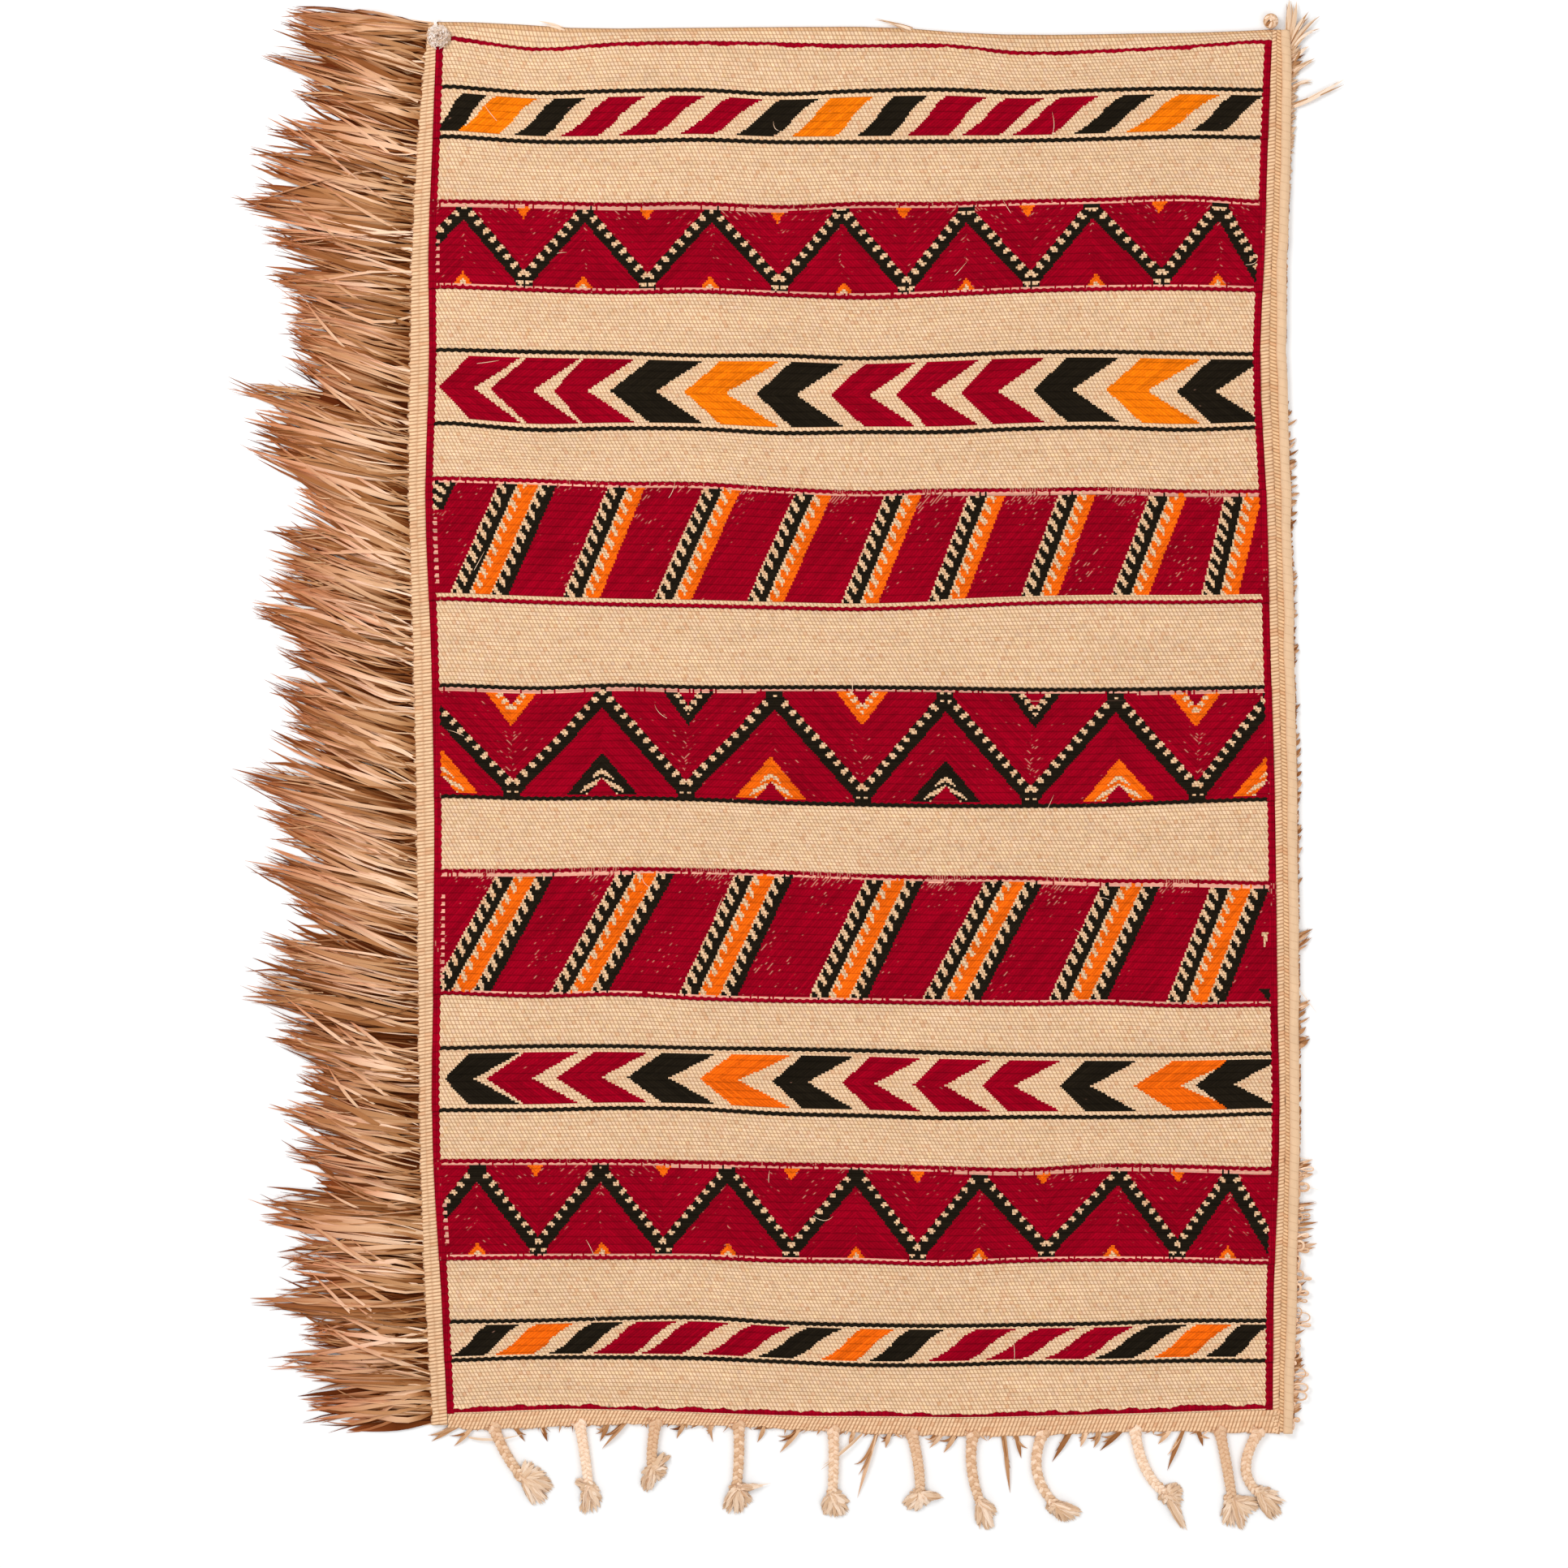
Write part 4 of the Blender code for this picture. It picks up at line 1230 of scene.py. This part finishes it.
# Each plait: x of its root, its bend, its end and its tuft's outline.
plaits = [
    (-386, (-374, -773), (-354, -795), [
        (-356, -774), (-344, -778), (-330, -788), (-323, -799), (-320, -806), (-325, -812), (-329, -823),
        (-336, -825), (-346, -825), (-351, -812),
    ]),
    (-294, (-287, -773), (-284, -804), [
        (-285, -795), (-299, -796), (-299, -802), (-292, -809), (-294, -819), (-294, -833), (-284, -837),
        (-273, -832), (-269, -821), (-271, -809), (-277, -800),
    ]),
    (-212, (-218, -767), (-216, -785), [
        (-204, -767), (-195, -772), (-202, -778), (-199, -786), (-202, -795), (-212, -802), (-218, -811),
        (-225, -812), (-229, -804), (-228, -788),
    ]),
    (-124, (-122, -773), (-126, -805), [
        (-115, -802), (-107, -807), (-96, -804), (-114, -811), (-107, -821), (-114, -826), (-119, -833),
        (-133, -836), (-142, -830), (-140, -819), (-134, -809),
    ]),
    (-23, (-21, -778), (-24, -814), [
        (-15, -807), (-4, -821), (-10, -825), (-5, -831), (-9, -837), (-16, -837), (-23, -839), (-34, -835),
        (-37, -826), (-34, -818),
    ]),
    (60, (70, -778), (70, -812), [
        (79, -809), (88, -811), (97, -817), (86, -819), (77, -826), (67, -832), (55, -830), (50, -823),
        (56, -814), (62, -807),
    ]),
    (127, (119, -782), (134, -821), [
        (140, -818), (150, -825), (154, -835), (148, -838), (150, -849), (143, -852), (133, -851),
        (129, -842), (130, -828),
    ]),
    (202, (181, -791), (214, -823), [
        (223, -821), (235, -825), (244, -831), (240, -838), (230, -844), (219, -843), (209, -835),
        (203, -828), (205, -823),
    ]),
    (299, (304, -791), (332, -812), [
        (330, -802), (344, -800), (351, -805), (353, -818), (349, -826), (356, -852), (349, -851),
        (342, -835), (323, -819),
    ]),
    (389, (398, -783), (403, -818), [
        (414, -814), (434, -818), (434, -828), (422, -837), (417, -852), (408, -851), (393, -847),
        (390, -837), (394, -821),
    ]),
    (433, (403, -788), (431, -811), [
        (427, -802), (441, -804), (455, -811), (452, -815), (462, -821), (455, -826), (457, -835),
        (448, -842), (438, -837), (434, -826),
    ]),
]
braid = {"stations": 60, "cycle": 15.0, "sway": 3.5, "swing": 1.4, "half": 2.7, "thick": 1.9, "level": 3.6}


def makePlaits(plaited):
    # three strands that cross in turn, spread a little where they leave the selvedge
    dice = random.Random(71)
    tubes = []
    t = np.linspace(0, 1, braid["stations"])
    thin = 1 - 0.35 * t ** 6
    for root, turn, end, outline in plaits:
        start = (root, float(bottomY(root)) + 5, 0)
        centre = bend(start, (*turn, 0), (*end, 0), braid["stations"])
        lengths = np.concatenate([[0], np.cumsum(np.linalg.norm(np.diff(centre, axis=0), axis=1))])
        side = unit(np.cross((0, 0, 1), np.gradient(centre, axis=0)))
        flare = 1 + 0.9 * np.exp(-lengths / 5) + 0.25 * np.exp(-(lengths[-1] - lengths) / 3)
        for strand in range(3):
            phase = 2 * math.pi * (lengths / braid["cycle"] + strand / 3)
            path = centre + side * (braid["sway"] * flare * np.sin(phase))[:, None]
            path[:, 2] = braid["level"] + braid["swing"] * np.sin(2 * phase)
            width = braid["half"] * flare ** 0.5 * thin
            tubes.append((path, width, braid["thick"] * thin, dice.uniform(0.5, 0.85)))
    makeTubes("plaits", tubes, plaited)


def makeTufts(tufted):
    # soft leaf ends that spread from the end of each plait to the outline they have on the floor
    leaves, count = Leaves(72), 150
    dice = leaves.dice
    for root, turn, end, outline in plaits:
        ring = np.array(outline + outline[:1], float)
        hub = np.array([*end, 0.0])
        for i in range(count):
            layer = i / count
            place = dice.random() * len(outline)
            side = int(place)
            edge = ring[side] + (ring[side + 1] - ring[side]) * (place - side)
            out = (np.array([*edge, 0.0]) - hub) * (1 - 0.45 * dice.random() ** 2)
            start = hub - out * 0.3 + np.array([0, 0, 1 + 2.5 * layer])
            middle = hub + out * 0.45 + np.array([0, 0, 2 + 7 * layer])
            last = hub + out + np.array([0, 0, 0.5 + 2 * layer * dice.random()])
            path = bend(start, middle, last)
            path[2:-1, :2] += [[dice.gauss(0, 0.4), dice.gauss(0, 0.4)] for step in range(5)]
            tone = dice.uniform(0.5, 0.85)
            # lower leaves get more painted shade
            leaves.add(path, dice.uniform(3.0, 5.5), 0.3, 0.2 * (1 - layer), 9, tone)
    makeLeaves("tufts", leaves.strips, tufted)


# Loose palm ends under the selvedge: x of the root and the tip.
leafEnds = [
    (-424, -452, -757), (-408, -428, -762), (-362, -352, -757), (-334, -328, -757), (-262, -272, -757),
    (-243, -270, -765), (-180, -190, -754), (-155, -151, -758), (-96, -104, -758), (-57, -80, -769),
    (0, -6, -762), (24, 3, -817), (38, 33, -764), (94, 80, -764), (108, 95, -769), (160, 166, -812),
    (172, 178, -775), (232, 211, -779), (248, 241, -763), (262, 255, -764), (287, 262, -767),
    (338, 324, -760), (352, 334, -788), (366, 372, -762),
]
# Trimmed ends along the roll: from where to where down the edge, how many, how far out and up they reach.
trimmed = [
    (740, 694, 7, 16, 16), (338, 222, 10, 10, 8), (190, 70, 8, 6, 6), (30, -170, 12, 6, 8),
    (-216, -252, 6, 15, 12), (-292, -346, 7, 12, 8), (-452, -480, 5, 15, 6), (-502, -556, 6, 22, 4),
    (-585, -738, 16, 11, 8),
]
# Single leaves and whiskers: start, middle, end and width.
singles = [
    ((468, 668, 2), (492, 678, 6), (523, 698, 2), 6.0),
    ((462, 742, 3), (463, 762, 7), (464, 783, 2), 7.0),
    ((464, 740, 3), (470, 760, 7), (472, 781, 2), 6.0),
    ((466, 738, 3), (474, 756, 7), (484, 769, 2), 6.0),
    ((466, 732, 3), (478, 752, 6), (496, 765, 2), 6.0),
    ((466, 730, 3), (480, 748, 6), (496, 752, 2), 4.0),
    ((468, 718, 3), (476, 728, 6), (485, 733, 2), 5.0),
    ((468, 706, 3), (480, 714, 6), (491, 720, 2), 5.0),
    ((468, 690, 3), (478, 696, 5), (489, 697, 2), 4.0),
    ((-306, 750, 3), (-322, 757, 5), (-339, 760, 4), 3.0),
    ((-308, 749, 3), (-318, 754, 5), (-332, 755, 4), 3.0),
    ((62, 749, 3), (46, 757, 5), (24, 762, 4), 4.0),
    ((66, 749, 3), (52, 755, 5), (32, 757, 4), 3.4),
    ((470, -268, 3), (488, -292, 6), (493, -299, 4), 0.8),
    ((472, -322, 3), (484, -325, 5), (485, -326, 4), 0.8),
    ((472, -452, 2), (482, -456, 5), (489, -456, 3), 0.8),
    ((474, -486, 2), (486, -484, 5), (498, -489, 3), 0.8),
    ((-126, -800, 3), (-112, -806, 5), (-89, -801, 2), 3.0),
    ((-412, -752, 3), (-386, -758, 6), (-352, -748, 3), 3.6),
    ((8, -748, 3), (-12, -768, 6), (-34, -782, 3), 4.0),
]
looseCounts = {"selvedge": 150, "roll": 620, "fibres": 34, "frayed": 150}


def layLowEnds(leaves):
    # the ends under the selvedge: long ones, each with two shorter beside it, and short ones all along
    dice = leaves.dice
    for root, tipX, tipY in leafEnds:
        start = (root, float(bottomY(root)) + 3, 2.4)
        middle = ((root + tipX) / 2 + dice.uniform(-2, 2), (start[1] + tipY) / 2, 3.4)
        leaves.add(bend(start, middle, (tipX, tipY, 0.6)), 4.6, 0.3, dice.uniform(0, 0.4))
        for turn in range(2):
            aim = (tipX + dice.uniform(-8, 8), start[1] + (tipY - start[1]) * dice.uniform(0.3, 0.7), 0.6)
            path = bend((root + dice.uniform(-5, 5), start[1], 1.6), middle, aim)
            leaves.add(path, 3.0, 0.3, dice.uniform(0, 0.5))
    for i in range(looseCounts["selvedge"]):
        x = dice.uniform(-440, 452)
        y = float(bottomY(x))
        tip = (x + dice.gauss(-5, 7), y - abs(dice.gauss(0, 3.2)), 0.8)
        path = bend((x, y + 5, 2.6), (x - 2, y + 1, 4.0), tip)
        leaves.add(path, dice.uniform(1.2, 2.8), 0.3, 0.3 * dice.random())


def layStubble(leaves):
    # the trimmed ends beside the roll, and short stubble all along it
    dice = leaves.dice
    for top, low, count, reach, rise in trimmed:
        for i in range(count * 2):
            y = top + (low - top) * dice.random()
            x = float(crownX(y)) + 4
            out = reach * dice.uniform(0.5, 1.05)
            tip = (x + 3 + out, y + rise * dice.uniform(0.5, 1.1), 0.6)
            path = bend((x, y, 2.0), (x + 3 + out * 0.4, y + rise * 0.3, 3.5), tip)
            leaves.add(path, dice.uniform(2.2, 4.6), 0.4, dice.uniform(0, 0.3))
    for i in range(looseCounts["roll"]):
        y = dice.uniform(-742, 700)
        x = float(crownX(y)) + 5.5
        out = dice.uniform(1.5, 4.0) if y < 350 else dice.uniform(0.2, 1.5)
        path = bend((x, y, 1.6), (x + 2, y + 1, 2.6), (x + out, y + dice.gauss(2.5, 3), 0.6))
        leaves.add(path, dice.uniform(1.6, 3.4), 0.3, 0.3 * dice.random())


def layFibres(leaves):
    # a few loose fibres on the bare palm
    dice = leaves.dice
    for i in range(looseCounts["fibres"]):
        x, y = dice.uniform(-430, 430), dice.choice([20, 208, 365, 515, 658, -100, -215, -510, -650])
        y += dice.gauss(0, 25)
        turn, long = dice.uniform(0, math.pi), dice.uniform(5, 12)
        step = np.array([math.cos(turn), math.sin(turn), 0]) * long
        middle = (x + dice.gauss(0, 3), y + dice.gauss(0, 3), 6.4)
        path = bend(np.array([x, y, 4.9]) - step, middle, np.array([x, y, 5.2]) + step)
        leaves.add(path, 0.5, 0.2, 0.0, 9, 0.9)


def makeLooseEnds(leafy):
    leaves = Leaves(73)
    layLowEnds(leaves)
    layStubble(leaves)
    layFibres(leaves)
    makeLeaves("loose_ends", leaves.strips, leafy)


def makeFan(tufted):
    # the pale leaves that stand out singly, each with two thinner ones beside it
    leaves = Leaves(77)
    dice = leaves.dice
    for start, middle, end, width in singles:
        leaves.add(bend(start, middle, end), width * 0.8, 0.2, 0.0, 3.5, dice.uniform(0.6, 0.9))
        for turn in range(2 if width > 3.8 else 0):
            aim = np.array(end) + [dice.uniform(-7, 1), dice.uniform(-6, 2), 0]
            first = np.array(start) + [0, dice.uniform(-6, 4), 0]
            leaves.add(bend(first, middle, aim), width * 0.45, 0.3, 0.25, 3.5, dice.uniform(0.4, 0.8))
    for i in range(looseCounts["frayed"]):  # the pale frayed ends beside the upper part of the roll
        y = 738 - 175 * dice.random() ** 1.2
        x = float(crownX(y)) + 5
        out = np.interp(y, [565, 640, 735], [3.5, 8, 15]) * dice.uniform(0.45, 1.1)
        tip = (x + out, y + out * dice.uniform(0.2, 0.9), 0.6)
        path = bend((x, y, 2.2), (x + out * 0.5, y + out * 0.3, 3.6), tip)
        leaves.add(path, dice.uniform(1.8, 3.6), 0.4, 0.15, 3.5, dice.uniform(0.45, 0.85))
    makeLeaves("fan_leaves", leaves.strips, tufted)


def makeLoops(leafy):
    # leaf loops that stand out of the lower end of the roll
    loops = {"seed": 74, "count": 46, "top": -470, "span": 268, "reach": [3, 5, 7, 10, 18]}
    dice = random.Random(loops["seed"])
    tubes = []
    t = np.linspace(0, 1, 12)
    for i in range(loops["count"]):
        y = loops["top"] - loops["span"] * i / (loops["count"] - 1) + dice.uniform(-5, 5)
        x = float(crownX(y)) + 3
        reach = dice.choice(loops["reach"]) * dice.uniform(0.8, 1.1)
        wide = dice.choice([-1, 1]) * dice.uniform(3, 10)
        path = np.stack([
            x + reach * np.sin(math.pi * t), y + wide * (t - 0.3) + 3 * np.sin(2 * math.pi * t),
            2.2 + 2.4 * np.sin(math.pi * t),
        ], 1)
        size = np.full(len(t), dice.uniform(0.7, 1.6))
        tubes.append((path, size, size * 0.6, dice.uniform(0.6, 1)))
    makeTubes("edge_loops", tubes, leafy)


def makeWoolKnot():
    # a loose ball of undyed wool, hairy, with the end of its thread
    knot = {"seed": 75, "centre": (-444, 743, 7.0), "hairs": 420, "points": 6, "threads": 5}
    leaves = Leaves(knot["seed"])
    dice = leaves.dice
    centre = np.array(knot["centre"])
    for i in range(knot["hairs"]):
        turn, tilt = dice.uniform(0, 2 * math.pi), dice.uniform(-0.3, 1.35)
        flat = math.cos(tilt)
        out = np.array([math.cos(turn) * flat, math.sin(turn) * flat, math.sin(tilt) * 0.45])
        lay = np.array([-out[1], out[0], 0.1]) * dice.uniform(-9, 9)
        start = centre + out * dice.uniform(2, 7)
        last = centre + out * dice.uniform(8.5, 12.5) + lay
        last[2] = max(last[2], 4.2)
        path = bend(start, centre + out * 11, last, knot["points"])
        leaves.add(path, dice.uniform(1.4, 2.8), 0.5, 0.2 * dice.random(), 6, dice.uniform(0.6, 0.95))
    for i in range(knot["threads"]):
        start, last = (-446 + i, 750, 7), (-446.5 + 0.6 * i, 765 - i, 4.8)
        leaves.add(bend(start, (-450, 757, 8), last, knot["points"]), 1.3, 0.2, 0.0, 9, 0.9)
    woolly = leafMaterial("undyed_wool", (240, 212, 192), (246, 226, 212), (250, 236, 226))
    piece = makeLeaves("wool_knot", leaves.strips, woolly)
    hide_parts("corner_knot_top_left")


def makeRollKnot(plaited):
    # a small ball of wound leaf at the head of the roll
    wound = {"seed": 76, "turns": 15, "half": 1.7, "inside": 1.0}
    low, high = (np.array(corner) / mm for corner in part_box("corner_knot_top_right"))
    dice = random.Random(wound["seed"])
    t = np.linspace(0, 2 * math.pi, 20)
    size = np.full(len(t), wound["half"])
    tubes = []
    for i in range(wound["turns"]):
        tilt, turn = dice.gauss(0.9, 0.5), dice.uniform(0, 2 * math.pi)
        shift = dice.uniform(-0.55, 0.55)
        ring = math.sqrt(1 - shift * shift)
        flat = np.stack([ring * np.cos(t), ring * np.sin(t), np.full(len(t), shift)], 1)
        spin = np.array(Matrix.Rotation(turn, 3, "Z") @ Matrix.Rotation(tilt, 3, "X"))
        path = (low + high) / 2 + flat @ spin.T * ((high - low) / 2 - wound["inside"])
        tubes.append((path, size, size * 0.6, dice.random()))
    piece = makeTubes("roll_knot", tubes, plaited)
    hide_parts("corner_knot_top_right")


plaited = leafMaterial("plaited_palm", (246, 210, 180), (248, 214, 184), (248, 218, 190), (12, 45))
tufted = leafMaterial("tuft_palm", (238, 200, 166), (246, 216, 188), (248, 222, 198))
leafy = leafMaterial("leaf_ends", (248, 216, 186), (242, 204, 170), (222, 176, 138))
makePlaits(plaited)
makeTufts(tufted)
makeLooseEnds(leafy)
makeFan(tufted)
makeLoops(leafy)
makeWoolKnot()
makeRollKnot(plaited)
print("ends plaited")


# Floor, light and camera

def makeStage():
    studio = {"floor": (250, 250, 250), "sky": 0.74, "size": 6, "below": -0.0004}  # in metres
    lights = [("key", (-1.9, 1.5, 2.6), 1.6, 48.0), ("fill", (1.8, -1.2, 3.0), 2.6, 26.0)]
    bm = bmesh.new()
    bmesh.ops.create_grid(bm, x_segments=2, y_segments=2, size=studio["size"])
    bmesh.ops.translate(bm, vec=(0, 0, studio["below"]), verts=bm.verts[:])
    mesh = bpy.data.meshes.new("studio_floor")
    bm.to_mesh(mesh)
    bm.free()
    mesh.materials.append(Net("studio_floor").finish(paint(*studio["floor"]), 0.9, specular=0.0))
    floor = bpy.data.objects.new("studio_floor", mesh)
    bpy.context.scene.collection.objects.link(floor)

    world = bpy.data.worlds.new("studio")
    world.use_nodes = True
    sky = world.node_tree.nodes["Background"].inputs
    sky["Color"].default_value = (1, 1, 1, 1)
    sky["Strength"].default_value = studio["sky"]
    bpy.context.scene.world = world

    for name, place, size, power in lights:
        light = bpy.data.lights.new(name, "AREA")
        light.shape = "DISK"
        light.size = size
        light.energy = power
        lamp = bpy.data.objects.new(name, light)
        lamp.location = place
        lamp.rotation_euler = (-Vector(place)).to_track_quat("-Z", "Y").to_euler()
        bpy.context.scene.collection.objects.link(lamp)


def makeCamera():
    # straight down on the rug; the view is as wide as it is high
    view = {"centre": (-0.0754, -0.0546), "width": 1.675, "distance": 4.2}
    camera = bpy.data.cameras.new("camera")
    camera.sensor_width = 36
    camera.lens = camera.sensor_width * view["distance"] / view["width"]
    holder = bpy.data.objects.new("camera", camera)
    holder.location = (*view["centre"], view["distance"])
    bpy.context.scene.collection.objects.link(holder)
    bpy.context.scene.camera = holder


makeStage()
makeCamera()
bpy.context.scene.view_settings.view_transform = "Standard"
print("stage set")
